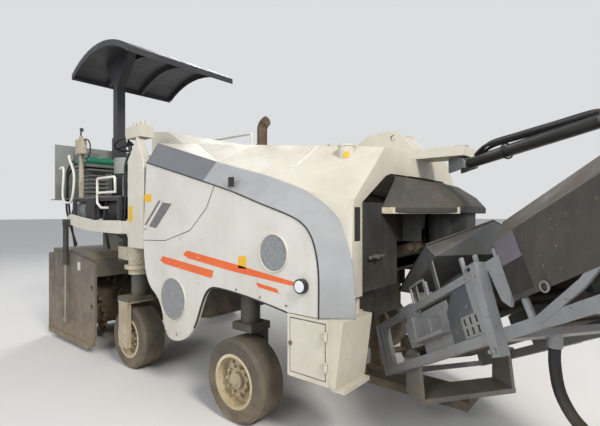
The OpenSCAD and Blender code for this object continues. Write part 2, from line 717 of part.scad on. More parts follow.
module rim(x, y) {
  color(cream) translate([x, y, tyre_r]) rotate([90, 0, 0]) difference() {
    rotate_extrude($fn = 72) polygon([
      [axle_r + 0.08, -40], [100, -40], [100, -20], [rim_r - 25, -20], [rim_r - 25, -tyre_w / 2], [rim_r - 0.3, -tyre_w / 2],
      [rim_r - 0.3, tyre_w / 2], [rim_r - 25, tyre_w / 2], [rim_r - 25, 20], [100, 20], [100, 60], [axle_r + 0.08, 60]
    ]);
    for (a = [0 : 45 : 315]) rotate([0, 0, a]) translate([150, 0, -30]) cylinder(r = 17, h = 60, $fn = 16);
  }
}

leg_t = 45;
leg_gap = 12;
crown_z = tyre_r * 2 + 50;
crown_t = 60;
sleeve_foot = 1060;
// Column, crown and one leg; leg_side is -1 for a leg on the right of its tyre
module wheel_fork(x, y, leg_side, top) {
  s = y < 0 ? -1 : 1;
  col_y = s * column_y;
  leg_in = y + leg_side * (tyre_w / 2 + leg_gap);
  leg_out = leg_in + leg_side * leg_t;
  color(dark) {
    translate([x, col_y, crown_z + crown_t - 1]) cylinder(r = column_r, h = top - crown_z - crown_t + 1);
    block([x - 110, min(leg_out, col_y - s * 0) - (leg_side > 0 ? 100 : 0), crown_z],
      [x + 110, max(leg_out, col_y) + (leg_side > 0 ? 0 : 100), crown_z + crown_t]);
    block([x - 90, min(leg_in, leg_out), tyre_r - 90], [x + 90, max(leg_in, leg_out), crown_z]);
    translate([x, leg_side > 0 ? y + tyre_w / 2 + leg_gap + 1 : y - tyre_w / 2 - leg_gap - 1, tyre_r])
      rotate([leg_side > 0 ? 90 : -90, 0, 0]) cylinder(r = axle_r, h = tyre_w / 2 + leg_gap + 55);
  }
}

module fork_front_right() { wheel_fork(0, -wheel_y, 1, 1700); }
module fork_front_left() { wheel_fork(0, wheel_y, -1, 1700); }
module tyre_front_right() { tyre(0, -wheel_y); }
module tyre_front_left() { tyre(0, wheel_y); }
module rim_front_right() { rim(0, -wheel_y); }
module rim_front_left() { mirror([0, 1, 0]) rim(0, -wheel_y); }
module rear_left_leg() { wheel_fork(rear_left_x, wheel_y, -1, 1700); }
module tyre_rear_left() { tyre(rear_left_x, wheel_y); }
module rim_rear_left() { mirror([0, 1, 0]) rim(rear_left_x, -wheel_y); }

rr_inset = leg_t + leg_gap + 5;
rr_wheel_y = -side_y + rr_inset + tyre_w / 2;
arm_low = 1150;
arm_high = 1290;
module swing_arm() {
  color(cream) difference() {
    union() {
      translate([rear_right_x, -column_y, 1000]) cylinder(r = sleeve_r, h = 330);
      translate([rear_right_x, -column_y, arm_low - 90]) cylinder(r = 150, h = 40);
      hull() {
        translate([rear_right_x, -column_y, arm_low]) cylinder(r = sleeve_r + 10, h = arm_high - arm_low, $fn = 32);
        translate([swing_pin_x, -column_y, arm_low]) cylinder(r = 75, h = arm_high - arm_low, $fn = 32);
      }
      translate([swing_pin_x, -column_y, arm_low]) cylinder(r = 75, h = arm_high - arm_low);
    }
    translate([rear_right_x, -column_y, 990]) cylinder(r = column_r + 0.05, h = 320);
    translate([swing_pin_x, -column_y, arm_low - 5]) cylinder(r = swing_pin_r + 0.05, h = 200);
  }
}

module fork_rear_right() { wheel_fork(rear_right_x, rr_wheel_y, -1, 1300); }
module tyre_rear_right() { tyre(rear_right_x, rr_wheel_y); }
module rim_rear_right() { mirror([0, 1, 0]) rim(rear_right_x, -rr_wheel_y); }

// Primary conveyor under the machine

primary_w = 560;
primary_rear_x = -2362;
// Space that the primary conveyor's frame takes, in side view
primary_clear = [[-2500, 250], [-2500, 700], [-1520, 750], [920, 1560], [920, 1190], [-1470, 400]];
module primary_frame() {
  half = primary_w / 2 + 40;
  color(dark) {
    both_sides() wall_xz([[primary_rear_x, 300], [primary_rear_x, 630], [-1520, 740], [860, 1520], [head_x, 1500], [head_x, 1210], [-1480, 430]],
      -half - 20, -half);
    wall_xz([[primary_rear_x, 300], [-1480, 410], [880, 1175], [880, 1195], [-1484, 430], [primary_rear_x, 320]], -half, half);
    both_sides() for (x = [-1200, 300]) block([x - 30, -rail_y + rail_t, 1062], [x + 30, -half - 20, 1120]);
  }
}

module primary_belt() {
  color("#222222") wall_xz([[primary_rear_x + 10, 370], [primary_rear_x, 400], [primary_rear_x + 10, 440], [-1510, 590], [1060, 1430],
    [1110, 1420], [1125, 1385], [1090, 1355], [-1480, 510]], -primary_w / 2, primary_w / 2);
  color(steel) for (p = [[-2300, 405], [1060, 1390]]) knuckle(p[0], -primary_w / 2 - 40, 40, p[1], 30);
  color(steel) for (p = [[-2300, 405], [850, 1320]]) knuckle(p[0], primary_w / 2, 40, p[1], 30);
}

head_half = 345;
head_x = 903;
module primary_head() {
  skin = 10;
  outline = [[head_x, 1345], [head_x, 1720], [1180, 1760], [1380, 1690], [1420, 1560], [1420, 1180], [1390, 1125], [1190, 1125], [1150, 1345]];
  inner = [[890, 1300], [890, 1720 - skin], [1180, 1760 - skin], [1372, 1682], [1420 - skin, 1556], [1420 - skin, 1100],
    [1202, 1100], [1162, 1300]];
  color(dark) difference() {
    wall_xz(outline, -head_half, head_half);
    wall_xz(inner, -head_half + skin, head_half - skin);
  }
  color(dark) both_sides() block([head_x, -head_half - 16, 1400], [front_x, -head_half, 1440]);
}

module lamps() {
  color("#c9ccd0") {
    translate([709, -side_y, 1166]) rotate([90, 0, 0]) cylinder(r = 50, h = 40);
    translate([709, side_y + 40, 1166]) rotate([90, 0, 0]) cylinder(r = 50, h = 40);
  }
}

// Discharge conveyor, in its own frame: +X up the belt, origin at the tail pivot

module on_conveyor() {
  translate([slew_x, 0, pivot_z]) rotate([0, 0, park_slew]) rotate([0, -park_rise, 0]) children();
}

half_w = conveyor_w / 2;
beam = 60;
rail_w = 336;
tail_u = -420;
post_u = 1080;
pivot_r = 30;
slew_pin_r = 50;
cheek_v = [395, 425];
root_a = 90;
root_z = 2050;
yoke_gap = 48;
root_pin_r = 20;
module slew_bracket() {
  color(grey) {
    translate([slew_x, 0, 0]) rotate([0, 0, park_slew]) {
      difference() {
        both_sides() wall_xz([[-120, slew_arm_z[1] + seat_gap], [-120, pivot_z + 30], [-60, pivot_z + 70], [30, pivot_z + 70], [60, pivot_z + 30],
          [120, slew_arm_z[1] + seat_gap]], -cheek_v[1], -cheek_v[0]);
        translate([0, 600, pivot_z]) rotate([90, 0, 0]) cylinder(r = pivot_r + 0.05, h = 1200);
      }
      block([-120, -cheek_v[1], slew_arm_z[1] + seat_gap], [120, cheek_v[1], slew_arm_z[1] + 41]);
      // Yoke for the lift cylinder
      both_sides() wall_xz([[-70, root_z - 60], [-70, arm_bottom - seat_gap], [70, arm_bottom - seat_gap], [root_a + 35, root_z + 20],
        [root_a + 35, root_z - 35]], -yoke_gap - 20, -yoke_gap);
      block([-70, -yoke_gap - 20, arm_bottom - 20], [35, yoke_gap + 20, arm_bottom - seat_gap]);
      knuckle(root_a, -yoke_gap - 20, 2 * yoke_gap + 40, root_z, root_pin_r);
    }
    translate([slew_x, 0, slew_arm_z[0]]) cylinder(r = slew_pin_r, h = slew_arm_z[1] - slew_arm_z[0] + 20);
    translate([slew_x, 0, arm_bottom - 20]) cylinder(r = pin_r - 0.05, h = arm_top - arm_bottom + 40);
    translate([slew_x, 0, arm_top + seat_gap]) cylinder(r = pin_r + 20, h = 18);
  }
}

module conveyor_frame() {
  color(steel) on_conveyor() {
    for (s = [-1, 1]) {
      y0 = min(s * half_w, s * (half_w - 45));
      block([post_u - 60, y0, -beam], [conveyor_len, y0 + 45, 0]);
      block([tail_u + 100, y0, rail_w - 25], [conveyor_len - 300, y0 + 45, rail_w + 25]);
      block([tail_u, y0, -beam], [tail_u + 60, y0 + 45, rail_w + 25]);
      block([tail_u, y0, -beam], [post_u, y0 + 45, 0]);
      block([post_u - 60, y0, -beam], [post_u, y0 + 45, rail_w + 25]);
      for (u = ROLLER_U) block([u - 25, y0 + 5, -1], [u + 25, y0 + 40, rail_w - 24]);
      for (u = [tail_pulley_u, head_pulley_u]) block([u - 60, y0 + 5, -1], [u + 60, y0 + 40, rail_w - 24]);
      knuckle(0, s > 0 ? cheek_v[0] : -half_w, half_w - cheek_v[0], 0, pivot_r);
      // Portal post for the lift cylinder
      block([lift_eye_u - 30, s > 0 ? half_w + cover_skin + 1 : -half_w - 31 - cover_skin, rail_w - 25],
        [lift_eye_u + 30, s > 0 ? half_w + 31 + cover_skin : -half_w - cover_skin - 1, lift_eye_w + 30]);
      block([lift_eye_u - 30, s > 0 ? half_w - 45 : -half_w - cover_skin - 1, 20], [lift_eye_u + 30, s > 0 ? half_w + cover_skin + 1 : -half_w + 45, 70]);
      block([lift_eye_u - 30, s > 0 ? half_w + cover_skin + 1 : -half_w - 31 - cover_skin, 20],
        [lift_eye_u + 30, s > 0 ? half_w + 31 + cover_skin : -half_w - cover_skin - 1, rail_w]);
    }
    knuckle(lift_eye_u, -half_w - 20, 2 * half_w + 40, lift_eye_w, lift_pin_r);
    for (c = CROSS) block([c[0], -half_w + 40, -beam], [c[0] + c[1], half_w - 40, -beam + 40]);
  }
  // Glands that hold the ends of the hose loop
  color(steel) for (p = [HOSE[0], HOSE[len(HOSE) - 1]]) translate(p) cylinder(r = hose_r + 8, h = gland_h);
}
gland_h = 90;
// Cross members, columns: u and width
CROSS = [[tail_u, 50], [1050, 120], [1690, 150], [3700, 50], [5700, 50], [conveyor_len - 60, 50]];

belt_mid_w = 130;
belt_out_r = 112;
belt_in_r = 101;
tail_pulley_u = -290;
head_pulley_u = conveyor_len - 180;
ROLLER_U = [for (u = [1000 : 900 : conveyor_len - 600]) u];
post_face = half_w - 40;
roller_half = belt_w / 2 + 20;
module conveyor_rollers() {
  color("#4a4a4a") on_conveyor() {
    for (u = [tail_pulley_u, head_pulley_u]) {
      knuckle(u, -roller_half, 2 * roller_half, belt_mid_w, belt_in_r - 0.3);
      knuckle(u, -post_face, 2 * post_face, belt_mid_w, 25);
    }
    for (u = ROLLER_U) {
      knuckle(u, -roller_half, 2 * roller_half, belt_mid_w + belt_in_r - 40.3, 40);
      knuckle(u, -post_face, 2 * post_face, belt_mid_w + belt_in_r - 40.3, 12);
    }
  }
}

module conveyor_belt() {
  color("#202020") on_conveyor() translate([0, belt_w / 2, belt_mid_w]) rotate([90, 0, 0]) linear_extrude(belt_w) difference() {
    belt_outline(belt_out_r);
    belt_outline(belt_in_r);
  }
}

// Outline of the belt's loop at distance r from the line between the pulleys
module belt_outline(r) {
  for (u = [tail_pulley_u, head_pulley_u]) translate([u, 0]) circle(r = r);
  translate([tail_pulley_u, -r]) square([head_pulley_u - tail_pulley_u, 2 * r]);
}

// Side plates of the receiving hopper, columns: u along the belt, w above it
HOPPER = [[10, rail_w + 25], [112, 540], [691, 722], [1330, 500], [1290, rail_w + 25]];
module conveyor_hopper() {
  wall = 12;
  outer = half_w - 30;
  color("#7c8388") on_conveyor() {
    both_sides() {
      wall_xz(HOPPER, -outer, -outer + wall);
      block([-10, -outer - 5, rail_w + 25], [post_u + 100, -outer + wall, rail_w + 35]);
      // Skirt that guides the load onto the belt
      wall_xz([[-200, belt_mid_w + belt_out_r + 8], [-200, rail_w - 40], [10, rail_w + 35], [1290, rail_w + 35], [1290, belt_mid_w + belt_out_r + 8]],
        -belt_w / 2 + 20, -belt_w / 2 + 30);
      block([10, -outer + wall, rail_w + 25], [1290, -belt_w / 2 + 20, rail_w + 35]);
    }
    block([10, -outer + wall, rail_w + 25], [22, outer - wall, 520]);
  }
}

cover_start = 1335;
cover_skin = 6;
cover_rise = 220;
module conveyor_cover() {
  a = half_w;
  b = half_w + cover_skin;
  top = rail_w + cover_rise;
  color("#3f3a36") on_conveyor() translate([cover_start, 0, 0]) rotate([90, 0, 90]) linear_extrude(conveyor_len - cover_start - 250)
    difference() {
      polygon([[-b, 100], [-b, rail_w + 100], [-b + 110, top], [b - 110, top], [b, rail_w + 100], [b, 100]]);
      polygon([[-a, 99], [-a, rail_w + 100 - 2], [-a + 110, top - cover_skin], [a - 110, top - cover_skin], [a, rail_w + 100 - 2], [a, 99]]);
    }
}

// Lift cylinder from the slewing pin to the portal over the conveyor
lift_eye_u = 2510;
lift_eye_w = 640;
lift_pin_r = 22;
lift_eye_bore = 46;
rod_r = 25;
// Point at distance a and side v from the slewing axis in the parked direction, at height z
function on_plane(a, v, z) = [slew_x + a * cos(park_slew) - v * sin(park_slew), a * sin(park_slew) + v * cos(park_slew), z];
lift_eye = on_plane(lift_eye_u * cos(park_rise) - lift_eye_w * sin(park_rise), 0,
  pivot_z + lift_eye_u * sin(park_rise) + lift_eye_w * cos(park_rise));
lift_root = on_plane(root_a, 0, root_z);
lift_dir = (lift_eye - lift_root) / norm(lift_eye - lift_root);
// Round piece across the lift cylinder's plane at point p, of a radius and width
module cross_round(p, r, w) {
  translate(p) rotate([0, 0, park_slew]) rotate([90, 0, 0]) cylinder(r = r, h = w, center = true);
}
module lift_barrel() {
  color(dark) difference() {
    union() {
      bar(lift_root, lift_root + lift_dir * 1120, 42, 32);
      cross_round(lift_root, 45, 2 * yoke_gap - 2 * seat_gap);
    }
    bar(lift_root + lift_dir * 180, lift_root + lift_dir * 1121, rod_r + 0.05, 32);
    cross_round(lift_root, root_pin_r + 0.05, 2 * yoke_gap);
  }
}

module lift_rod() {
  color("#b8bcc0") difference() {
    union() {
      bar(lift_root + lift_dir * 350, lift_eye - lift_dir * (lift_eye_bore + 6), rod_r, 32);
      cross_round(lift_eye, lift_eye_bore + 18, 60);
    }
    cross_round(lift_eye, lift_eye_bore, 62);
  }
}

// Hose loop under the conveyor: route points in millimetres, chosen by hand
HOSE = [
  [2100, -700, 900], [2100, -700, 800], [2130, -725, 655], [2215, -790, 545], [2335, -875, 505], [2455, -965, 545],
  [2540, -1025, 655], [2570, -1050, 800], [2570, -1050, 930], [2570, -1050, 1060], [2570, -1050, 1190]
];
hose_r = 32;
module hose_loop() {
  n = 10;
  m = len(HOSE);
  dirs = [for (i = [0 : m - 1]) let (a = HOSE[max(i - 1, 0)], b = HOSE[min(i + 1, m - 1)]) (b - a) / norm(b - a)];
  side = [0.589, 0.808, 0];
  color("#1c1c1c") loft([for (i = [0 : m - 1]) let (u = side - dirs[i] * (side * dirs[i]), v = cross(dirs[i], u / norm(u)))
    [for (k = [0 : n - 1]) HOSE[i] + hose_r * (cos(k * 360 / n) * u / norm(u) + sin(k * 360 / n) * v)]]);
}

chassis_frame();
side_panels();
arch_beams();
front_hood();
rear_cowl();
gantry();
engine();
front_corners();
platform();
rear_tank();
handrails();
seat_frame();
seat_cushion();
console();
control_box();
canopy_mast();
drum_housing();
primary_frame();
primary_belt();
primary_head();
column_sleeves();
rear_left_leg();
lamps();
hood();
exhaust();
canopy_post();
canopy_roof();
tool_door();
steering_wheel();
side_plate_right();
side_plate_left();
scraper_door();
drum();
fork_front_right();
tyre_front_right();
rim_front_right();
fork_front_left();
tyre_front_left();
rim_front_left();
tyre_rear_left();
rim_rear_left();
swing_arm();
fork_rear_right();
tyre_rear_right();
rim_rear_right();
slew_bracket();
conveyor_frame();
conveyor_hopper();
conveyor_cover();
conveyor_belt();
conveyor_rollers();
lift_barrel();
lift_rod();
hose_loop();
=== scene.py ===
# Looks of the wheeled cold planer: camera, light, materials and the trim that CAD leaves out.
import math

import bmesh
import bpy
from mathutils import Matrix, Vector


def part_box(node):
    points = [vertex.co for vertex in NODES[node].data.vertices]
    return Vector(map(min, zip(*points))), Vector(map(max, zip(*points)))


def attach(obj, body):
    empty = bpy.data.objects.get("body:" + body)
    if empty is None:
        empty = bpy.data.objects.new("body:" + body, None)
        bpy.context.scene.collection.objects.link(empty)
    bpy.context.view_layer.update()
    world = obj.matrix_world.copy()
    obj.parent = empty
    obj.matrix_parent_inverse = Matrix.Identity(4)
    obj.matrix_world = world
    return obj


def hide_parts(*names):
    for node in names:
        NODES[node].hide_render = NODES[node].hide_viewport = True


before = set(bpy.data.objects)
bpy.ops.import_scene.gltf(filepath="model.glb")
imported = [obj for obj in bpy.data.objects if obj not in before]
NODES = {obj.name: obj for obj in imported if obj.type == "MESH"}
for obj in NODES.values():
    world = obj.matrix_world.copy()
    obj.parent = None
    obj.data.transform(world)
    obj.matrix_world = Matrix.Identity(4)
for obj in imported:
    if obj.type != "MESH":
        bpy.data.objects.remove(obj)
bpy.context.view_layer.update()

# Camera, standing at the photograph's place

CAMERA_PLACE = (2.468, -3.416, 1.66)
CAMERA_VIEW = (-0.636, 0.772, 0)
LENS = 24.7
FAR_CLIP = 300

camera_data = bpy.data.cameras.new("camera")
camera_data.sensor_width = 36
camera_data.lens = LENS
camera_data.clip_end = FAR_CLIP
camera = bpy.data.objects.new("camera", camera_data)
bpy.context.collection.objects.link(camera)
camera.location = CAMERA_PLACE
camera.rotation_euler = Vector(CAMERA_VIEW).to_track_quat("-Z", "Y").to_euler()
bpy.context.scene.camera = camera

# Places that several pieces share, in millimetres: x forward, y left, z up from the ground

UP = (0, 0, 1)
OUTWARD = (0, -1, 0)                 # away from the machine's right side
ALONG = (1, 0, 0)
ACROSS = (0, 1, 0)

HALF = 1250.0                        # outer face of the side panels, from the centreline
ARCH_INNER = HALF - 150              # inner edge of the arch beams
NOSE_X = 1000                        # front face of the hood's nose
CORNER_X = 901                       # where trim lies on the corner boxes' front

FLOOR_LOW = 1838                     # underside and top of the operator's floor
FLOOR_TOP = 1850
STATION_REAR = -3850
STATION_FRONT = -1900
STATION_RIGHT = -1200
STATION_LEFT = 900
RAIL_Y = -1222                       # the grab rails' middle line

# The conveyor's own axes as it stands at rest: u along it, v to its left, w up from its pivot

CONVEYOR_PIVOT = (1.35, 0, 0.5)      # metres
CONVEYOR_SLEW = -36                  # degrees
CONVEYOR_PITCH = -27.5
CONVEYOR = (Matrix.Translation(CONVEYOR_PIVOT) @ Matrix.Rotation(math.radians(CONVEYOR_SLEW), 4, "Z")
            @ Matrix.Rotation(math.radians(CONVEYOR_PITCH), 4, "Y"))
SIDE = 500                           # outer face of the conveyor's side rails

# Mesh helpers: every part is (points in millimetres, faces)


def loft(sections, caps=True, closed=True):
    """Skin over rows of points, each row with the same number of them."""
    n = len(sections[0])
    points = [p for section in sections for p in section]
    last = n if closed else n - 1
    faces = [(j * n + i, j * n + (i + 1) % n, (j + 1) * n + (i + 1) % n, (j + 1) * n + i)
             for j in range(len(sections) - 1) for i in range(last)]
    if caps:
        faces += [tuple(range(n)), tuple(range((len(sections) - 1) * n, len(sections) * n))]
    return points, faces


def wall_xz(outline, y0, y1):
    """Plate with an outline seen from the side."""
    return loft([[(x, y, z) for x, z in outline] for y in (y0, y1)])


def wall_yz(outline, x0, x1):
    """Plate with an outline seen from the front."""
    return loft([[(x, y, z) for y, z in outline] for x in (x0, x1)])


def block(low, high):
    """Box between two corners."""
    (x0, y0, z0), (x1, y1, z1) = low, high
    return loft([[(x0, y0, z), (x1, y0, z), (x1, y1, z), (x0, y1, z)] for z in (z0, z1)])


def prism(points, step):
    """Any flat outline, pushed out by a step."""
    return loft([points, [tuple(p[k] + step[k] for k in range(3)) for p in points]])


def across(axis):
    """Direction that crosses an axis, for a section's first point."""
    return axis.cross(Vector(UP) if abs(axis.z) < 0.9 else Vector(ALONG))


def circle(middle, r, first, second, n):
    """Points of a circle that starts along the first direction and turns to the second."""
    turns = [k * math.tau / n for k in range(n)]
    return [tuple(middle + r * (math.cos(turn) * first + math.sin(turn) * second)) for turn in turns]


def tube(points, r, n=12):
    """Round bar or hose swept through points."""
    points = [Vector(p) for p in points]
    sections = []
    side = None
    for i, p in enumerate(points):
        way = (points[min(i + 1, len(points) - 1)] - points[max(i - 1, 0)]).normalized()
        side = across(way) if side is None else side
        side = (side - way * side.dot(way)).normalized()
        sections.append(circle(p, r, side, way.cross(side), n))
    return loft(sections)


def smooth(points, steps=6):
    """Points on a smooth curve through all rows."""
    out = []
    for i in range(len(points) - 1):
        p0, p1, p2, p3 = (Vector(points[max(0, min(len(points) - 1, i + k))]) for k in (-1, 0, 1, 2))
        for k in range(steps):
            t = k / steps
            out.append(0.5 * (2 * p1 + (p2 - p0) * t + (2 * p0 - 5 * p1 + 4 * p2 - p3) * t * t
                              + (3 * p1 - p0 - 3 * p2 + p3) * t ** 3))
    return out + [Vector(points[-1])]


def cut_corners(line):
    """One pass of rounding for an open line of (x, z)."""
    out = [line[0]]
    for (x0, z0), (x1, z1) in zip(line, line[1:]):
        for share in (0.25, 0.75):
            out.append((x0 + (x1 - x0) * share, z0 + (z1 - z0) * share))
    return out + [line[-1]]


def ring(centre, axis, big, small, n=40, m=8):
    """Torus around an axis."""
    axis = Vector(axis).normalized()
    side = across(axis).normalized()
    up = axis.cross(side)
    sections = []
    for i in range(n + 1):
        angle = i * math.tau / n
        out = math.cos(angle) * side + math.sin(angle) * up
        sections.append(circle(Vector(centre) + big * out, small, out, axis, m))
    return loft(sections, caps=False)


def disc(centre, axis, r, t, n=32):
    """Round plate or drum that starts at its centre and is t thick along the axis."""
    step = Vector(axis).normalized() * t
    return tube([Vector(centre), Vector(centre) + step], r, n)


def mirrored(*parts):
    """Parts and their mirror images across the centreline."""
    return list(parts) + [([(x, -y, z) for x, y, z in points], faces) for points, faces in parts]


def side_plate(outline, v0, v1):
    """Plate on both sides of the conveyor."""
    return mirrored(wall_xz(outline, -v1, -v0))


def side_block(u, w, v0, v1):
    """Box on both sides of the conveyor, from its ranges along, up and across."""
    return mirrored(block((u[0], -v1, w[0]), (u[1], -v0, w[1])))


WELD = 0.00001                       # metres: points nearer than this become one
BEVEL_ANGLE = 40                     # degrees: edges that turn more than this are bevelled


def piece(name, body, material, parts, place=None, bevel=0.0, shell=0.0, sharp=35, nodes=()):
    """Object made of parts, riding on a body, with bevelled edges and an optional sheet thickness."""
    bm = bmesh.new()
    for points, faces in parts:
        verts = [bm.verts.new((place @ (Vector(p) / 1000)) if place else Vector(p) / 1000) for p in points]
        for face in faces:
            loop = [verts[i] for i in face]
            if len(set(loop)) > 2:
                try:
                    bm.faces.new(loop)
                except ValueError:
                    pass
    if shell:
        bmesh.ops.remove_doubles(bm, verts=bm.verts, dist=WELD)
    bmesh.ops.recalc_face_normals(bm, faces=bm.faces)
    mesh = bpy.data.meshes.new(name)
    bm.to_mesh(mesh)
    bm.free()
    mesh.shade_smooth()
    mesh.set_sharp_from_angle(angle=math.radians(sharp))
    mesh.materials.append(material)
    obj = bpy.data.objects.new(name, mesh)
    bpy.context.collection.objects.link(obj)
    if shell:
        solid = obj.modifiers.new("shell", "SOLIDIFY")
        solid.thickness = shell / 1000
        solid.offset = -1
    if bevel:
        edge = obj.modifiers.new("edge", "BEVEL")
        edge.width = bevel / 1000
        edge.segments = 2
        edge.limit_method = "ANGLE"
        edge.angle_limit = math.radians(BEVEL_ANGLE)
    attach(obj, body)
    if nodes:
        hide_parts(*nodes)
    return obj


# Hose loop under the conveyor: its route repeats the part's source, in metres

HOSE = [(2.1, -0.7, 0.9), (2.1, -0.7, 0.8), (2.13, -0.725, 0.655), (2.215, -0.79, 0.545),
        (2.335, -0.875, 0.505), (2.455, -0.965, 0.545), (2.54, -1.025, 0.655), (2.57, -1.05, 0.8),
        (2.57, -1.05, 0.93), (2.57, -1.05, 1.06), (2.57, -1.05, 1.19)]
HOSE_DIAMETER = 0.064
hose_path = smooth(HOSE, 4)

# Materials: how a node tree is put together


def linear(code):
    """Colour written as #rrggbb, for a shader."""
    parts = [int(code[i:i + 2], 16) / 255 for i in (1, 3, 5)]
    return tuple((c / 12.92 if c <= 0.04045 else ((c + 0.055) / 1.055) ** 2.4) for c in parts) + (1.0,)


class Graph:
    """Short words for building a node tree."""

    def __init__(self, name):
        self.material = bpy.data.materials.new(name)
        self.material.use_nodes = True
        self.tree = self.material.node_tree
        self.shader = next(n for n in self.tree.nodes if n.type == "BSDF_PRINCIPLED")
        self.place = self.add("ShaderNodeTexCoord").outputs["Object"]

    def add(self, kind, **values):
        node = self.tree.nodes.new(kind)
        for key, value in values.items():
            setattr(node, key, value)
        return node

    def feed(self, socket, value):
        if isinstance(value, bpy.types.NodeSocket):
            self.tree.links.new(value, socket)
        else:
            socket.default_value = value

    def noise(self, scale, detail=4.0, rough=0.6, stretch=None):
        place = self.place
        if stretch:
            mapping = self.add("ShaderNodeMapping")
            self.feed(mapping.inputs["Vector"], place)
            mapping.inputs["Scale"].default_value = stretch
            place = mapping.outputs["Vector"]
        node = self.add("ShaderNodeTexNoise")
        self.feed(node.inputs["Vector"], place)
        node.inputs["Scale"].default_value = scale
        node.inputs["Detail"].default_value = detail
        node.inputs["Roughness"].default_value = rough
        return node.outputs["Fac"]

    def span(self, value, low, high, to_low=0.0, to_high=1.0):
        node = self.add("ShaderNodeMapRange")
        self.feed(node.inputs["Value"], value)
        for key, number in (("From Min", low), ("From Max", high), ("To Min", to_low), ("To Max", to_high)):
            node.inputs[key].default_value = number
        return node.outputs["Result"]

    def arithmetic(self, kind, a, b):
        node = self.add("ShaderNodeMath", operation=kind)
        self.feed(node.inputs[0], a)
        self.feed(node.inputs[1], b)
        return node.outputs[0]

    def blend(self, amount, a, b):
        node = self.add("ShaderNodeMix", data_type="RGBA")
        self.feed(node.inputs["Factor"], amount)
        self.feed(node.inputs[6], a)
        self.feed(node.inputs[7], b)
        return node.outputs[2]

    def split(self, vector, which):
        node = self.add("ShaderNodeSeparateXYZ")
        self.feed(node.inputs[0], vector)
        return node.outputs[which]

    def axis(self, which):
        return self.split(self.place, which)

    def upward(self):
        return self.split(self.add("ShaderNodeNewGeometry").outputs["Normal"], 2)

    def bump(self, height, strength, distance, under=None):
        node = self.add("ShaderNodeBump")
        node.inputs["Strength"].default_value = strength
        node.inputs["Distance"].default_value = distance
        self.feed(node.inputs["Height"], height)
        if under:
            self.feed(node.inputs["Normal"], under)
        return node.outputs["Normal"]


DUST_MOST = 0.95                     # share of the paint's colour that dust may hide


def surface(name, base, second=None, patch=2.5, rough=(0.35, 0.6), metal=0.0, dust=0.3, dust_top=1.3,
            dust_colour="#94805f", streaks=0.15, streak_colour="#5b5348", chips=0.0, chip_colour="#4b4036",
            settle=0.0, bump=0.12, bump_scale=90.0, dents=0.0, coat=0.0, repaint=None):
    """A worn painted, rubber or bare surface, all from the object's own coordinates.

    Base and second colour alternate in patches. Streaks run down, chips are small spots, settle is dust on
    what faces up, and dust is the dirt that fades out at the height dust_top, in metres.
    """
    g = Graph(name)
    colour = g.blend(g.span(g.noise(patch, 5), 0.35, 0.65), linear(base), linear(second or base))
    if repaint:
        colour = repaint(g, colour)
    if streaks:
        amount = g.span(g.noise(5, 4, 0.7, stretch=(3.0, 3.0, 0.35)), 0.52, 0.8, 0, streaks)
        colour = g.blend(amount, colour, linear(streak_colour))
    if chips:
        spots = g.span(g.noise(26, 6, 0.75), 0.69 - 0.1 * chips, 0.72 - 0.1 * chips)
        colour = g.blend(spots, colour, linear(chip_colour))
    if settle:
        up = g.span(g.upward(), 0.35, 0.95)
        amount = g.arithmetic("MULTIPLY", up, g.span(g.noise(3.5, 6), 0.3, 0.7, 0.2 * settle, settle))
        colour = g.blend(amount, colour, linear(dust_colour))
    if dust:
        low = g.span(g.axis(2), dust_top, 0.0)
        cloud = g.span(g.noise(4, 7, 0.7), 0.32, 0.68, 0.15 * dust, dust * 1.6)
        amount = g.arithmetic("MULTIPLY", low, cloud)
        colour = g.blend(g.arithmetic("MINIMUM", amount, DUST_MOST), colour, linear(dust_colour))
    g.feed(g.shader.inputs["Base Color"], colour)
    g.feed(g.shader.inputs["Roughness"], g.span(g.noise(7, 5), 0.3, 0.7, rough[0], rough[1]))
    g.shader.inputs["Metallic"].default_value = metal
    g.shader.inputs["Coat Weight"].default_value = coat
    normal = g.bump(g.noise(bump_scale, 4, 0.7), bump, 0.002)
    if dents:
        normal = g.bump(g.noise(2.6, 2, 0.4), dents, 0.02, under=normal)
    g.feed(g.shader.inputs["Normal"], normal)
    return g.material


ARCH_JOINT_X = -0.381                # metres: where the arch's two greys meet
COLUMN_FOOT_Z = 0.721                # metres: where the folding wheel's pale fork ends
PAINT_EDGE = 0.0005


def two_tone(g, colour):
    """The arch beam's rear part is a darker grey than its front part."""
    rear = g.span(g.axis(0), ARCH_JOINT_X + PAINT_EDGE, ARCH_JOINT_X - PAINT_EDGE)
    return g.blend(rear, colour, linear("#5f6268"))


def dark_column(g, colour):
    """The folding wheel's leg is dark above its pale fork."""
    above = g.span(g.axis(2), COLUMN_FOOT_Z - 2 * PAINT_EDGE, COLUMN_FOOT_Z + 2 * PAINT_EDGE)
    return g.blend(above, colour, linear("#3a4140"))


# Paint in cream and greys

CREAM = dict(rough=(0.38, 0.6), dust=0.35, dust_top=1.0, streaks=0.14, streak_colour="#8b7d66", chips=0.35,
             settle=0.12, dents=0.10)
cream = surface("cream_paint", "#c6c1b4", "#bab4a5", **CREAM)
# The side panels' cream is the same cream tinted grey: painted shade, as those panels stand in shade
panel_cream_shaded = surface("panel_paint_shaded", "#c6c4bd", "#bdb9b0", **CREAM)
arch_grey = surface("arch_grey", "#97999b", "#888a8b", rough=(0.28, 0.45), dust=0.1, streaks=0.12, chips=0.2,
                    coat=0.25, settle=0.15, dents=0.12, repaint=two_tone)
platform_grey = surface("platform_grey", "#6d6f70", "#5d5d5a", dust=0.2, dust_top=2.2, settle=0.55, chips=0.6)
wall_grey = surface("wall_grey", "#8d918c", "#7c807a", rough=(0.5, 0.7), dust=0.45, chips=0.4)
canopy_grey = surface("canopy_grey", "#3a3a3e", "#303033", rough=(0.35, 0.55), dust=0.0, streaks=0.1,
                      settle=0.12, bump=0.2)
engine_grey = surface("engine_grey", "#3c4046", "#2f3236", dust=0.3, dust_top=2.4, settle=0.4)
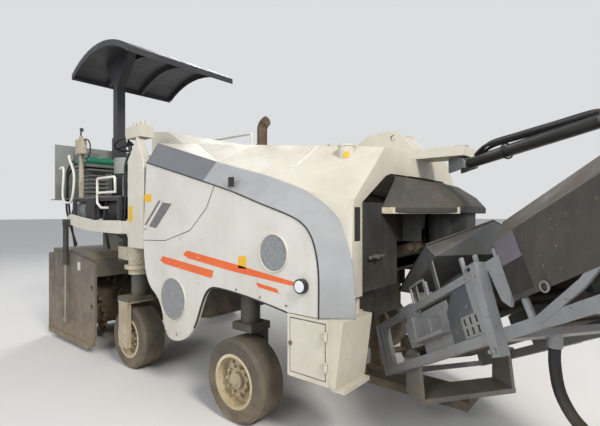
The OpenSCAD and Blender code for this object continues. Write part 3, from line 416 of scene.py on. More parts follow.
console_grey = surface("console_grey", "#7c7f82", "#6d7073", rough=(0.4, 0.65), dust=0.0, settle=0.3,
                       chips=0.3)
cover_grey = surface("cover_grey", "#85888a", "#717476", patch=40, rough=(0.4, 0.6), dust=0.2, chips=0.5,
                     chip_colour="#5b5e60")
rail_white = surface("rail_white", "#dad8d0", "#c9c6bc", rough=(0.3, 0.5), dust=0.1, chips=0.5,
                     chip_colour="#5b4636")
conveyor_grey = surface("conveyor_grey", "#8e9194", "#7d8083", rough=(0.35, 0.6), dust=0.3, dust_top=1.6,
                        streaks=0.2, streak_colour="#4c4a47", chips=0.75, chip_colour="#6a5442", settle=0.3,
                        bump=0.2)
bracket_grey = surface("bracket_grey", "#777a7c", "#66686a", rough=(0.4, 0.65), dust=0.5, dust_top=1.0,
                       chips=0.8, settle=0.4)
guard_blue = surface("guard_blue", "#46535f", "#3b4650", rough=(0.4, 0.6), dust=0.4, dust_top=1.4, chips=0.8,
                     chip_colour="#8d8a84")
collar_paint = surface("collar_paint", "#6c666e", "#5c575e", rough=(0.4, 0.6), dust=0.1, chips=0.7,
                       chip_colour="#3a3430")

# Dark frames, castings, wheels and bare metal

frame_dark = surface("frame_dark", "#2b2a2a", "#353230", rough=(0.5, 0.8), dust=0.5, dust_top=1.2,
                     settle=0.35, streaks=0.2, streak_colour="#14110f", bump=0.3)
leg_dark = surface("leg_dark", "#2a2a2c", "#33302e", rough=(0.35, 0.65), dust=0.5, dust_top=1.1, settle=0.5)
sleeve_dark = surface("sleeve_dark", "#4a4a48", "#3b3a38", rough=(0.3, 0.6), dust=0.5, dust_top=1.5,
                      settle=0.4)
rim_paint = surface("rim_paint", "#cfc4a8", "#bdb092", rough=(0.5, 0.8), dust=0.7, dust_top=1.0, chips=0.8,
                    chip_colour="#3d3026")
casting = surface("casting_paint", "#b9b09b", "#9a917f", rough=(0.5, 0.75), dust=0.55, dust_top=1.6,
                  chips=0.9, settle=0.45, bump=0.4)
fork_cast = surface("fork_cast", "#b9b09b", "#9a917f", rough=(0.5, 0.75), dust=0.55, dust_top=1.2, chips=0.9,
                    settle=0.4, bump=0.4, repaint=dark_column)
exhaust_rust = surface("exhaust_rust", "#6d5a49", "#4b3b30", patch=9, rough=(0.45, 0.75), metal=0.45,
                       dust=0.0, streaks=0.4, streak_colour="#2a201a", bump=0.3)
drum_steel = surface("drum_steel", "#4e463e", "#6b5d4d", patch=7, rough=(0.55, 0.85), metal=0.3, dust=0.6,
                     dust_top=1.2, bump=0.6)
plate_steel = surface("plate_steel", "#6f6a63", "#57524c", patch=3.5, rough=(0.45, 0.8), metal=0.25,
                      dust=0.75, dust_top=1.5, dust_colour="#8b7a62", streaks=0.45,
                      streak_colour="#3a332c", chips=0.9, chip_colour="#5a3b25", bump=0.45)
housing_grey = surface("housing_grey", "#67655f", "#4f4d49", rough=(0.5, 0.8), dust=0.6, dust_top=1.5,
                       streaks=0.4, settle=0.6, chips=0.8, bump=0.35)
hopper_steel = surface("hopper_steel", "#62676a", "#4f5355", patch=4, rough=(0.35, 0.6), metal=0.35,
                       dust=0.35, dust_top=2.0, streaks=0.45, streak_colour="#34302c", chips=0.5,
                       chip_colour="#8a7d69", settle=0.2, dents=0.2)
cover_dark = surface("cover_dark", "#3d3833", "#4a443d", patch=3, rough=(0.5, 0.8), dust=0.0, streaks=0.55,
                     streak_colour="#25211e", chips=0.6, chip_colour="#8d7a5e", settle=0.4,
                     dents=0.35, bump=0.4)
cylinder_black = surface("cylinder_black", "#262626", "#323130", rough=(0.3, 0.5), dust=0.0, streaks=0.1,
                         settle=0.25)
chrome = surface("chrome_rod", "#c6c9cc", "#b2b5b8", rough=(0.12, 0.3), metal=1.0, dust=0.0, streaks=0.1,
                 bump=0.02)
chrome_dull = surface("chrome_dull", "#a9a8a3", "#8d8a83", rough=(0.25, 0.45), metal=0.6, dust=0.4,
                      dust_top=1.4)
bolt_steel = surface("bolt_steel", "#8a8680", "#6e675e", patch=20, rough=(0.35, 0.6), metal=0.7, dust=0.2)

# Rubber, plastic, vinyl and glass

tyre_rubber = surface("tyre_rubber", "#3b3733", "#4a443c", patch=5, rough=(0.7, 0.9), dust=0.75,
                      dust_top=0.75, dust_colour="#7d6f58", streaks=0.0, settle=0.4, bump=0.5, bump_scale=55)
belt_rubber = surface("belt_rubber", "#232221", "#332f2b", rough=(0.75, 0.95), dust=0.4, dust_top=3.5,
                      settle=0.6, streaks=0, bump=0.5)
rubber_black = surface("rubber_black", "#1d1d1e", "#28282a", rough=(0.55, 0.8), dust=0.3, dust_top=0.9,
                       streaks=0, settle=0.25)
rubber_worn = surface("rubber_worn", "#232323", "#34312e", patch=3, rough=(0.5, 0.8), dust=0.25, dust_top=1.5,
                      settle=0.2, streaks=0.25, streak_colour="#6a5f50", dents=0.6, bump=0.4)
plastic_black = surface("plastic_black", "#1f1f21", "#29292b", rough=(0.4, 0.6), dust=0, streaks=0,
                        settle=0.25, bump=0.25)
seat_vinyl = surface("seat_vinyl", "#1f6f56", "#2a7f63", patch=6, rough=(0.25, 0.4), dust=0.0, streaks=0.1,
                     settle=0.08, bump=0.3, bump_scale=260, coat=0.2)
lamp_glass = surface("lamp_glass", "#cfd4d6", rough=(0.08, 0.15), dust=0.05, streaks=0, bump=0.05, coat=0.6)

# Stripes, blank stickers, seams and painted shade

stripe_orange = surface("stripe_orange", "#d9642c", "#cf5a26", rough=(0.35, 0.5), dust=0.15, chips=0.6,
                        chip_colour="#cfc7b5")
sticker_yellow = surface("sticker_yellow", "#dcae1c", "#cfa21a", rough=(0.35, 0.5), dust=0.15)
sticker_white = surface("sticker_white", "#cfcfc8", "#bdbcb4", rough=(0.4, 0.6), dust=0.2, chips=0.5)
flash_grey = surface("flash_grey", "#4c4b4d", "#7b7a78", patch=60, rough=(0.4, 0.6), dust=0.1, chips=0.4,
                     chip_colour="#cfc7b5")
# Dark for seams and slots, and for painted shade under the conveyor's collar
seam_and_shade_dark = surface("seam_and_shade_dark", "#2a2724", rough=(0.6, 0.8), dust=0.1)

# Each CAD node's material

LOOKS = {
    cream: "front_hood hood rear_cowl rear_tank gantry front_corners tool_door control_box",
    panel_cream_shaded: "side_panels",
    arch_grey: "arch_beams",
    platform_grey: "platform",
    canopy_grey: "canopy_mast canopy_post canopy_roof",
    engine_grey: "engine",
    console_grey: "console",
    rail_white: "handrails",
    frame_dark: "chassis_frame primary_frame primary_head",
    leg_dark: "rear_left_leg fork_front_right fork_front_left",
    sleeve_dark: "column_sleeves",
    casting: "swing_arm",
    fork_cast: "fork_rear_right",
    tyre_rubber: "tyre_front_right tyre_front_left tyre_rear_left tyre_rear_right",
    rim_paint: "rim_front_right rim_front_left rim_rear_left rim_rear_right",
    drum_steel: "drum",
    housing_grey: "drum_housing scraper_door",
    plate_steel: "side_plate_right side_plate_left conveyor_rollers",
    bracket_grey: "slew_bracket",
    conveyor_grey: "conveyor_frame",
    hopper_steel: "conveyor_hopper",
    cover_dark: "conveyor_cover",
    belt_rubber: "primary_belt conveyor_belt",
    cylinder_black: "lift_barrel",
    chrome: "lift_rod",
    exhaust_rust: "exhaust",
    rubber_black: "hose_loop",
    plastic_black: "lamps steering_wheel seat_frame seat_cushion",
}
for material, names in LOOKS.items():
    for name in names.split():
        node = NODES[name]
        if not node.material_slots:
            node.data.materials.append(material)
        for slot in node.material_slots:
            slot.material = material

hose = piece("hose_loop_rubber", "conveyor", rubber_black,
             [tube([p * 1000 for p in hose_path], HOSE_DIAMETER * 500, 14)], nodes=["hose_loop"])

# Arch beams and side panels with their true curves

# Columns: x and z of the arch's lower edge, x and z of its upper edge
ARCH = [(-1276, 2159, -1316, 2375), (-380, 1931, -382, 2111), (-12, 1833, 148, 1977), (299, 1734, 400, 1899),
        (546, 1660, 640, 1812), (682, 1605, 868, 1660), (769, 1526, 957, 1507), (819, 1409, 1004, 1343),
        (844, 1246, 1027, 1148), (844, 964, 1027, 964)]
# Columns: x and z of the panel's lower edge, from the front to the rear
PANEL_FOOT = [(560, 964), (340, 1000), (80, 1033), (-222, 1053), (-313, 1025), (-380, 941), (-520, 611),
              (-743, 488), (-951, 512), (-1018, 829), (-1283, 981), (-1340, 1382)]
# Columns: x and z of a round cover's middle, its radius
COVERS = ((435, 1372, 147), (-821, 874, 205))
COVER_SCREWS = 8
SCREW_INSET = 32                     # from the cover's radius to the screws' circle
ARCH_FOLD = 12                       # how far the arch's sheet turns in at its two edges
PANEL_DEPTH = 40

lower = smooth([(x, 0, z) for x, z, _, _ in ARCH], 5)
upper = smooth([(x, 0, z) for _, _, x, z in ARCH], 5)
panel_foot = cut_corners(cut_corners(PANEL_FOOT))

sections = [[(a.x, -HALF, a.z), (a.x, -HALF + ARCH_FOLD, a.z),
             (c.x, -ARCH_INNER + ARCH_FOLD, c.z - ARCH_FOLD), (c.x, -ARCH_INNER, c.z)]
            for a, c in zip(lower, upper)]
piece("arch_beam_shells", "chassis", arch_grey, mirrored(loft(sections)), bevel=6, sharp=50,
      nodes=["arch_beams"])
piece("side_panel_sheets", "chassis", panel_cream_shaded,
      mirrored(wall_xz([(p.x, p.z) for p in lower] + panel_foot, -HALF, -HALF + PANEL_DEPTH)),
      bevel=5, sharp=50, nodes=["side_panels"])


def round_cover(x, z, r):
    """Round cover with a ring of screws near its edge."""
    parts = [disc((x, -HALF + 2, z), OUTWARD, r - 18, 7, 48)]
    for k in range(COVER_SCREWS):
        angle = k * math.tau / COVER_SCREWS + 0.2
        out = r - SCREW_INSET
        place = (x + out * math.cos(angle), -HALF - 4, z + out * math.sin(angle))
        parts.append(disc(place, OUTWARD, 6, 5, 6))
    return parts


piece("round_covers", "chassis", cover_grey,
      mirrored(*[part for row in COVERS for part in round_cover(*row)]), bevel=1.5)
piece("cover_rims", "chassis", cream, mirrored(*[ring((x, -HALF - 2, z), ACROSS, r - 10, 8, 48)
                                                 for x, z, r in COVERS]))

# Nose of the hood: sections follow the arch's upper edge, with a knee above it and the mouth in front

NOSE_REAR = 348
NOSE_STEP = 40
ROOF_HALF = 630                      # half width of the nose's flat roof
ROOF_HEIGHT = 2272                   # height of the roof above the front axle, and its fall per length
ROOF_FALL = 0.1156
KNEE_HEIGHT = 1745                   # height of the knee at the nose's face, and its rise per length
KNEE_RISE = 0.2
KNEE_INWARD = 30                     # the most that the knee leans in
MOUTH_FOOT = 1090
# Columns: y and z of the mouth's edge
MOUTH = ((-960, MOUTH_FOOT), (-960, 1735), (-620, 1940), (-530, 1962), (530, 1962), (620, 1940), (960, 1735),
         (960, MOUTH_FOOT))


def level(x):
    """Height of the arch's upper edge."""
    for p, q in zip(upper, upper[1:]):
        if p.x <= x <= q.x and q.x > p.x:
            return p.z + (q.z - p.z) * (x - p.x) / (q.x - p.x)
    return upper[-1].z


def nose_row(x):
    """One section of the nose, from the left foot over the roof to the right foot."""
    foot = level(x)
    roof = ROOF_HEIGHT - ROOF_FALL * x
    knee = max(foot + 2, KNEE_HEIGHT + (NOSE_X - x) * KNEE_RISE)
    inward = min(KNEE_INWARD, (knee - foot) * 0.2)
    half = [(x, ARCH_INNER, foot - 40), (x, ARCH_INNER, foot), (x, ARCH_INNER - inward, knee),
            (x, ROOF_HALF, roof)]
    return half + [(x, -y, z) for x, y, z in reversed(half)]


def nose_face():
    """Flat front of the nose around the mouth, as one face."""
    shoulder = level(NOSE_X)
    rim = [(NOSE_X, ARCH_INNER, MOUTH_FOOT), (NOSE_X, ARCH_INNER, shoulder)] + nose_row(NOSE_X)[2:6]
    rim += [(NOSE_X, -ARCH_INNER, shoulder), (NOSE_X, -ARCH_INNER, MOUTH_FOOT)]
    rim += [(NOSE_X, y, z) for y, z in MOUTH]
    return rim, [tuple(range(len(rim)))]


stations = [NOSE_REAR, *range(400, NOSE_X, NOSE_STEP), NOSE_X]
piece("nose_shell", "chassis", cream,
      [loft([nose_row(x) for x in stations], caps=False, closed=False), nose_face()],
      shell=12, bevel=8, sharp=28, nodes=["front_hood"])
piece("cheek_slots", "chassis", seam_and_shade_dark, mirrored(wall_yz(
    [(-1062, 1470), (-990, 1470), (-990, 1700), (-1062, 1700)], NOSE_X + 0.2, NOSE_X + 1.2)))

# Stripes, blank stickers and seams: thin films on the right side. Columns: x and z of the corners


def film(name, material, outline, y=-HALF, t=1.2):
    """Thin sheet just outside a face at y."""
    return piece(name, "chassis", material, [wall_xz(outline, y - t, y - 0.1)])


film("stripe_lower", stripe_orange, [(-1030, 1215), (-985, 1256), (-240, 1184), (-262, 1120), (-965, 1186)])
film("stripe_upper", stripe_orange,
     [(-665, 1290), (-610, 1330), (0, 1262), (650, 1182), (668, 1152), (0, 1200), (-585, 1262)])
film("stripe_short", stripe_orange, [(257, 1142), (470, 1118), (492, 1086), (280, 1110)])
film("sticker_front", sticker_yellow, [(62, 1232), (62, 1328), (150, 1328), (150, 1232)])
film("sticker_rear", sticker_yellow, [(-1310, 1768), (-1310, 1846), (-1185, 1846), (-1185, 1768)])
film("sticker_post", sticker_yellow, [(-1640, 1570), (-1640, 1730), (-1560, 1730), (-1560, 1570)], y=-1240)
film("flash_dark", flash_grey, [(-1230, 1530), (-1100, 1515), (-840, 1745), (-990, 1760)])
film("flash_thin", flash_grey, [(-1310, 1545), (-1275, 1540), (-1020, 1775), (-1055, 1780)])
film("panel_seam", seam_and_shade_dark,
     [(-222, 1891), (-330, 1700), (-563, 1503), (-951, 1399), (-1335, 1388),
      (-1335, 1394), (-951, 1405), (-565, 1510), (-336, 1704), (-230, 1893)], t=0.6)
film("pull_handle_rim", seam_and_shade_dark, [(-60, 1868), (-60, 1945), (10, 1945), (10, 1868)], y=-HALF + 3)
piece("arch_rubber_strip", "chassis", rubber_black,
      mirrored(tube([(x, -HALF + 6, z) for x, z in panel_foot[:26]], 9, 8)))
piece("arch_seam", "chassis", rubber_black,
      mirrored(tube([(p.x - 3, -HALF - 1, p.z - 3) for p in lower], 5, 6)))
piece("lamp_glass", "chassis", lamp_glass, [disc((709, -HALF - 38, 1166), OUTWARD, 40, 6)], bevel=2)

# Operator's station: floor around the canopy's mast, rear wall, helm, post and skirt

MAST_REAR, MAST_FRONT = -3472, -3327
MAST_RIGHT, MAST_LEFT = -522, -377
ENTRY_LEFT = -820                    # where the floor beside the cowl begins
POST_FACE = -1240
POST_BACK = -1160
HELM_Y = -750


def floor_plate(x0, x1, y0=STATION_RIGHT, y1=STATION_LEFT):
    """Piece of the station's floor, as wide as the station unless it says otherwise."""
    return block((x0, y0, FLOOR_LOW), (x1, y1, FLOOR_TOP))


piece("floor_plates", "chassis", platform_grey, [
    floor_plate(STATION_REAR, MAST_REAR), floor_plate(MAST_FRONT, STATION_FRONT),
    floor_plate(MAST_REAR, MAST_FRONT, y1=MAST_RIGHT), floor_plate(MAST_REAR, MAST_FRONT, y0=MAST_LEFT),
    floor_plate(STATION_FRONT, -1330, y0=ENTRY_LEFT)], bevel=2, nodes=["platform"])
piece("rear_wall", "chassis", wall_grey, [block(
    (STATION_REAR, STATION_RIGHT + 50, FLOOR_TOP), (STATION_REAR + 20, STATION_LEFT - 50, 2620))], bevel=2)
piece("helm_drum", "chassis", wall_grey, [
    disc((-2590, HELM_Y, 2150), UP, 160, 202, 40), disc((-2590, HELM_Y, FLOOR_TOP), UP, 62, 302),
    disc((-2480, HELM_Y, 2352), UP, 32, 13, 24)], bevel=5, nodes=["console"])
piece("station_post", "chassis", cream, [
    wall_xz([(-1660, 1300), (-1660, 2200), (-1480, 2440), (-1350, 2180), (-1350, 1300)],
            POST_FACE, POST_BACK),
    block((STATION_FRONT, POST_BACK, FLOOR_LOW), (-1340, ENTRY_LEFT, FLOOR_TOP))], bevel=6)
# Columns: x and z of the skirt's outline
SKIRT = [(-3160, 1520), (-3160, 1617), (-3060, 1649), (-2760, 1612), (-2420, 1577), (-1800, 1579),
         (-1800, 1437), (-2510, 1444), (-2760, 1465), (-3010, 1503)]
SKIRT_BACK = -HALF + 14
piece("station_skirt", "chassis", cream, [
    wall_xz(SKIRT, -HALF, SKIRT_BACK), block((-1820, SKIRT_BACK, 1440), (-1659, -1190, 1575))], bevel=4)
piece("skirt_hangers", "chassis", frame_dark, [
    *[block((x, SKIRT_BACK, 1540), (x + 40, -1190, FLOOR_LOW)) for x in (-3040, -2500, -1900)],
    block((-3040, -1202, 1798), (-1860, -1140, FLOOR_LOW)),
    block((-2735, -1200, 1600), (-2400, -1188, 1798))], bevel=4)

# Base of the operator's seat: bellows around a column, pan and a low back

BELLOWS_LOW = 1865
BELLOWS_HIGH = 2190
BELLOWS_STEP = 54
folds = range(BELLOWS_LOW, BELLOWS_HIGH, BELLOWS_STEP)
bellows = [block((-3330, -1030, z), (-3010, -770, z + 20)) for z in folds]
piece("seat_base", "chassis", platform_grey, [
    block((-3290, -990, FLOOR_TOP), (-3050, -810, BELLOWS_HIGH)), *bellows,
    block((-3370, -1090, 2206), (-2960, -710, 2230)), block((-3400, -1110, 2252), (-2935, -690, 2290)),
    wall_xz([(-3400, 2252), (-3455, 2500), (-3425, 2505), (-3385, 2290)], -1080, -720)],
    bevel=5, nodes=["seat_frame"])

# Side plate's cylinder: a hollow barrel on the chassis, and the rod and a blank sticker on the plate

CYLINDER_X, CYLINDER_Y = -3100, -1292
PLATE_FACE = -1249
# Columns: radius and height of the barrel's sections
BARREL = ((24, 1010), (32, 1010), (32, 1480), (24, 1480))

barrel = [circle(Vector((CYLINDER_X, CYLINDER_Y, z)), r, Vector(ALONG), Vector(ACROSS), 24)
          for r, z in BARREL]
piece("plate_barrel", "chassis", frame_dark, [
    loft(barrel, caps=False),
    block((CYLINDER_X - 30, -1320, 1482), (CYLINDER_X + 30, -1250, 1580))], sharp=30)
piece("plate_rod", "plate_right", chrome_dull, [
    disc((CYLINDER_X, CYLINDER_Y, 330), UP, 16, 760, 20),
    block((CYLINDER_X - 30, -1310, 300), (CYLINDER_X + 30, -1250, 345))], bevel=1.5)
piece("plate_sticker", "plate_right", sticker_white,
      [wall_xz([(-2860, 960), (-2860, 1060), (-2780, 1060), (-2780, 960)], PLATE_FACE - 1.2, PLATE_FACE)])

# Below and beside the station: tank, ladder, side console with its lever, grab rails, filler

TANK_Y = -1030
piece("service_tank", "chassis", frame_dark, [
    disc((-2880, TANK_Y, 1705), ALONG, 116, 900, 40), disc((-1981, TANK_Y, 1705), ALONG, 90, 10, 40),
    *[block((x, TANK_Y - 30, 1705), (x + 20, TANK_Y + 30, FLOOR_LOW)) for x in (-2700, -2060)]], bevel=8)
piece("tank_drum", "chassis", cover_grey, [disc((-3130, TANK_Y, 1702), ALONG, 134, 251, 40)], bevel=8)

RUNG_SPACING = 260
piece("ladder", "chassis", cream, [
    *[block((x, 1210, 430), (x + 30, 1246, FLOOR_LOW)) for x in (-2640, -2240)],
    *[block((-2620, 1213, z), (-2230, 1242, z + 24)) for z in range(450, 1751, RUNG_SPACING)]], bevel=3)

piece("side_console", "chassis", casting, [
    block((-3060, -1200, 2396), (-2850, -1140, 2590)), block((-3000, -1180, FLOOR_TOP), (-2940, -1140, 2397)),
    disc((-2955, -1170, 2590), UP, 26, 34)], bevel=8)
piece("side_lever", "chassis", plastic_black, [
    tube([(-2955, -1170, 2620), (-2955, -1170, 2670), (-2945, -1165, 2700)], 9),
    disc((-2945, -1165, 2690), UP, 22, 34), ring((-2810, -1170, 2450), ACROSS, 120, 9)])


def in_rail_plane(*rows):
    """Points of a grab rail, from rows of x and z."""
    return [(x, RAIL_Y, z) for x, z in rows]


def left_rail(x0, x1, top, y=880, turn=30):
    """Hand rail over the left edge, with cut corners."""
    return [(x0, y, FLOOR_TOP), (x0, y, top - turn), (x0 + turn, y, top), (x1 - turn, y, top),
            (x1, y, top - turn), (x1, y, FLOOR_TOP)]


piece("grab_rails", "chassis", rail_white, [
    tube(smooth(in_rail_plane((-3470, 2250), (-3350, 2225), (-3380, 1880), (-3260, 1795), (-3090, 1840),
                              (-3030, 2140), (-3160, 2340), (-3180, 2400)), 6), 15),
    tube(in_rail_plane((-2390, 1775), (-2390, 2045), (-2375, 2060), (-1985, 2060), (-1970, 2045),
                       (-1960, 1893), (-2385, 1893)), 14),
    tube(in_rail_plane((-2390, 1775), (-2290, 1720), (-2140, 1720)), 14),
    tube(left_rail(-3700, -2000, 2850), 19),
    *[tube([(x, RAIL_Y, 1844), (x, STATION_RIGHT, 1844)], 6) for x in (-3385, -3090, -2390)]],
    nodes=["handrails"])

FILLER = (700, -700)                 # x and y of the filler's middle
piece("filler_neck", "chassis", cream,
      [disc((*FILLER, 2030), UP, 66, 150, 40), disc((*FILLER, 2176), UP, 71, 16, 40)], bevel=3)
piece("filler_sticker", "chassis", sticker_yellow,
      [prism([(715, -765, 2085), (752, -741, 2085), (752, -741, 2130), (715, -765, 2130)], (3, -5, 0))])

# Front: T-shaped catch on the apron, latch and slots on the corner boxes

piece("corner_catches", "chassis", bolt_steel, [
    disc((1030, -905, 1350), ACROSS, 13, 190, 12), block((1012, -830, 1335), (1048, -800, 1366)),
    disc((600, -HALF - 2, 760), OUTWARD, 16, 8, 16)])
slots = [wall_yz([(y, 700), (y + 20, 700), (y + 20, 830), (y, 830)], CORNER_X, CORNER_X + 1.5)
         for y in (-1130, -1040)]
piece("face_slots", "chassis", seam_and_shade_dark, slots)

# Outlet of the first belt: rounded chute, hood over the belt's head, apron and clamping bars

# Columns: height, rear x, front x, half width
CHUTE = [(1125, 1170, 1265, 108), (1200, 1165, 1335, 150), (1300, 1160, 1388, 218), (1400, 1160, 1418, 248),
         (1660, 1160, 1420, 248)]
# Columns: x, half width at the foot, half width at the top, height of the top
HEAD_TOP = [(1006, 700, 470, 1948), (1200, 560, 380, 1895), (1380, 400, 300, 1790), (1455, 322, 280, 1712)]
HEAD_FOOT = 1660
HEAD_LIP = 1700


def mix(a, b, t):
    return a + (b - a) * t


def chute_row(z, rear, front, w):
    """One section of the chute, an eight-sided ring at one height."""
    near, far = mix(rear, front, 0.25), mix(rear, front, 0.75)
    return [(near, -w, z), (far, -w, z), (front, -w * 0.6, z), (front, w * 0.6, z), (far, w, z), (near, w, z),
            (rear, w * 0.8, z), (rear, -w * 0.8, z)]


def hood_row(x, foot, top, z):
    """One section of the hood over the belt's head."""
    return [(x, -foot, HEAD_FOOT), (x, foot, HEAD_FOOT), (x, foot, HEAD_LIP), (x, top, z), (x, -top, z),
            (x, -foot, HEAD_LIP)]


piece("outlet_chute", "chassis", rubber_worn, [loft([chute_row(*row) for row in CHUTE], caps=False)],
      shell=10, bevel=4, sharp=60, nodes=["primary_head"])
piece("outlet_hood", "chassis", rubber_worn, [
    loft([hood_row(*row) for row in HEAD_TOP]),
    block((903, -345, 1435), (1160, -335, HEAD_FOOT)), block((903, 335, 1435), (1160, 345, HEAD_FOOT)),
    block((903, -345, 1650), (1006, 345, 1710))], bevel=8, sharp=30)
APRON = [(-340, 1440), (-450, 1440), (-450, 1112), (-955, 1112), (-955, 1735), (-340, 1735)]
piece("outlet_apron", "chassis", rubber_worn, mirrored(wall_yz(APRON, NOSE_X + 1, NOSE_X + 6)), bevel=1)
piece("apron_bars", "chassis", casting, mirrored(loft(
    [[(1012, -706, z), (1452, -328, z), (1444, -319, z), (1004, -697, z)] for z in (1655, 1702)])), bevel=2)

# Discharge conveyor's scoop: side sheets, sloping front and raised lip. Outlines: u along, w up

SCOOP = [(100, 530), (640, 706), (715, 597), (259, 467)]
SCOOP_SIDE = 458
TROUGH_SIDE = 270


def scoop_lip():
    """Half of the raised lip: two triangles that meet in a fold."""
    foot, corner = (715, -SCOOP_SIDE, 597), (640, -SCOOP_SIDE, 706)
    middle, peak = (715, 0, 597), (844, 0, 800)
    return [prism([foot, peak, middle], (-12, 0, 4)), prism([foot, corner, peak], (-12, 0, 4))]


scoop = side_plate(SCOOP, SCOOP_SIDE, 470)
scoop += [wall_xz([(715, 597), (259, 467), (255, 478), (711, 608)], -SCOOP_SIDE, SCOOP_SIDE)]
scoop += mirrored(*scoop_lip())
for u, top in ((330, 494), (620, 590)):
    scoop += side_block((u, u + 40), (362, top), SCOOP_SIDE, 470)
scoop += side_plate([(-60, 255), (-60, 340), (250, 450), (300, 470), (640, 480), (1290, 371), (1290, 255)],
                    TROUGH_SIDE, TROUGH_SIDE + 10)
for u in (330, 620):
    scoop += side_block((u, u + 40), (362, 372), TROUGH_SIDE + 10, SCOOP_SIDE)
piece("scoop_sheets", "conveyor", hopper_steel, scoop, CONVEYOR, bevel=2, nodes=["conveyor_hopper"])
piece("scoop_rubber", "conveyor", rubber_black,
      mirrored(tube([(105, -464, 540), (640, -464, 712), (838, -2, 806)], 10, 8)), CONVEYOR)

# Conveyor's tail brackets and folding joint. Outlines: u along, w up

brackets = side_block((-420, 690), (-64, -58), SIDE - 44, SIDE + 4)
brackets += side_plate([(158, 70), (320, 66), (320, 361), (278, 382), (89, 385), (100, 351), (165, 336),
                        (180, 270), (125, 260), (125, 200)], SIDE - 40, SIDE + 3)
# Boxes on the tail plate. Columns: u from and to, w from and to, v of the inner and outer face from SIDE
TAIL_BOXES = ((290, 700, 0, 290, -40, -30), (290, 690, 80, 105, -35, 60), (330, 350, 80, 262, -35, 55),
              (560, 575, 80, 200, -35, 55))
for u0, u1, w0, w1, inner, outer in TAIL_BOXES:
    brackets += side_block((u0, u1), (w0, w1), SIDE + inner, SIDE + outer)
brackets += side_plate([(1104, -140), (1168, -140), (1210, 366), (1150, 366)], SIDE - 5, SIDE + 65)
for u in (1120, 1152):
    brackets += mirrored(disc((u, -SIDE - 85, -110), ACROSS, 12, 30, 12))
brackets += mirrored(tube([(1387, -SIDE + 22, -40), (1368, -SIDE + 22, 326)], 20))
brackets += side_plate([(1215, 311), (1355, 311), (1350, 180), (1290, 80), (1240, 130)], SIDE - 20, SIDE + 3)
brackets += side_plate([(1430, -35), (1480, -35), (1746, 46), (1900, 120), (1900, 160), (1735, 86),
                        (1430, 0)], SIDE - 17, SIDE + 3)
# Frame and stakes along the upper rail. Columns: u from and to, w from and to
for u0, u1, w0, w1 in ((305, 320, 361, 500), (305, 520, 486, 500), (506, 520, 361, 500)):
    brackets += side_block((u0, u1), (w0, w1), SIDE - 20, SIDE - 6)
for u, top in ((533, 470), (1000, 468), (1130, 437), (1300, 408)):
    brackets += side_block((u - 12, u + 12), (361, top), SIDE - 24, SIDE - 2)
brackets += side_block((1000, 1130), (388, 402), SIDE - 18, SIDE - 6)
piece("conveyor_brackets", "conveyor", conveyor_grey, brackets, CONVEYOR, bevel=2.5)

# Guard plate with its vents, and the collar between scoop and cover

piece("conveyor_guards", "conveyor", guard_blue,
      side_plate([(694, -15), (1090, 5), (1110, 311), (820, 311), (700, 200)], SIDE - 16, SIDE - 8),
      CONVEYOR, bevel=2)
piece("guard_vents", "conveyor", conveyor_grey, side_block((835, 1025), (4, 132), SIDE - 8, SIDE - 3),
      CONVEYOR, bevel=1)
slots = []
for u in (862, 920, 978):
    for w in (16, 76):
        slots += side_block((u, u + 17), (w, w + 44), SIDE - 3, SIDE - 2)
piece("vent_slots", "conveyor", seam_and_shade_dark, slots, CONVEYOR)


def collar(name, material, low, high):
    """Film on both sides of the cover's first end."""
    parts = mirrored(block((1336, -508.5, low), (1490, -506.8, high)))
    return piece(name, "conveyor", material, parts, CONVEYOR)


collar("cover_collar", collar_paint, 290, 434)
# Black film under the collar: painted shadow in the gap below it
collar("collar_painted_shadow", seam_and_shade_dark, 130, 290)
piece("cover_eye", "conveyor", chrome_dull, [ring((1558, -514, 108), ACROSS, 24, 6)], CONVEYOR)

# Hoses clipped along the lift cylinder, from the root to the eye

LIFT_ROOT, LIFT_EYE = Vector((1422, -53, 2050)), Vector((2912, -1135, 2227))
LIFT_ACROSS = (0.59, 0.8)            # x and y of the level direction across the cylinder
lift_way = (LIFT_EYE - LIFT_ROOT).normalized()
lift_hoses = []
# Columns: how far a hose rises over the cylinder, how far it lies across
for rise, out in ((74, -24), (92, 4), (70, 30)):
    heights = ((120, 40), (240, rise + 10), (520, rise), (800, rise - 16), (1050, rise - 30), (1120, 40))
    line = [LIFT_ROOT + lift_way * t + Vector((out * LIFT_ACROSS[0], out * LIFT_ACROSS[1], h))
            for t, h in heights]
    lift_hoses.append(tube(smooth(line), 13, 10))
lift_hoses.append(ring(LIFT_ROOT + lift_way * 420, lift_way, 52, 6))
piece("lift_hoses", "lift_barrel", rubber_black, lift_hoses)

# Hoses clipped at the station. Each name has its radius and its hoses' routes
HOSES = {
    "station_hoses": (13, [
        [(-3330, -1120, 2350), (-3420, -1150, 2200), (-3400, -1160, 2000), (-3440, -1150, 1700),
         (-3380, -1100, 1400), (-3300, -1080, 1230)],
        [(-3360, -1080, 2300), (-3470, -1120, 2150), (-3450, -1130, 1900), (-3400, -1120, 1600),
         (-3330, -1090, 1210)],
        [(-3250, -1100, 1838), (-3230, -1150, 1700), (-3290, -1160, 1500), (-3240, -1110, 1260)]]),
    "pump_hoses": (16, [
        [(-2330, -1130, 1838), (-2330, -1170, 1600), (-2300, -1160, 1400), (-2360, -1100, 1240)],
        [(-1980, -1090, 1838), (-1960, -1150, 1640), (-1930, -1140, 1450), (-1880, -1080, 1250)],
        [(-2250, -1090, 1560), (-2100, -1140, 1440), (-1960, -1130, 1380), (-1840, -1060, 1300)]]),
    "column_hoses": (12, [
        [(-1760, -1180, 2190), (-1800, -1200, 2000), (-1780, -1200, 1800), (-1820, -1190, 1600)],
        [(-1720, -1190, 2300), (-1770, -1210, 2150), (-1740, -1210, 1950), (-1790, -1200, 1700)]]),
}
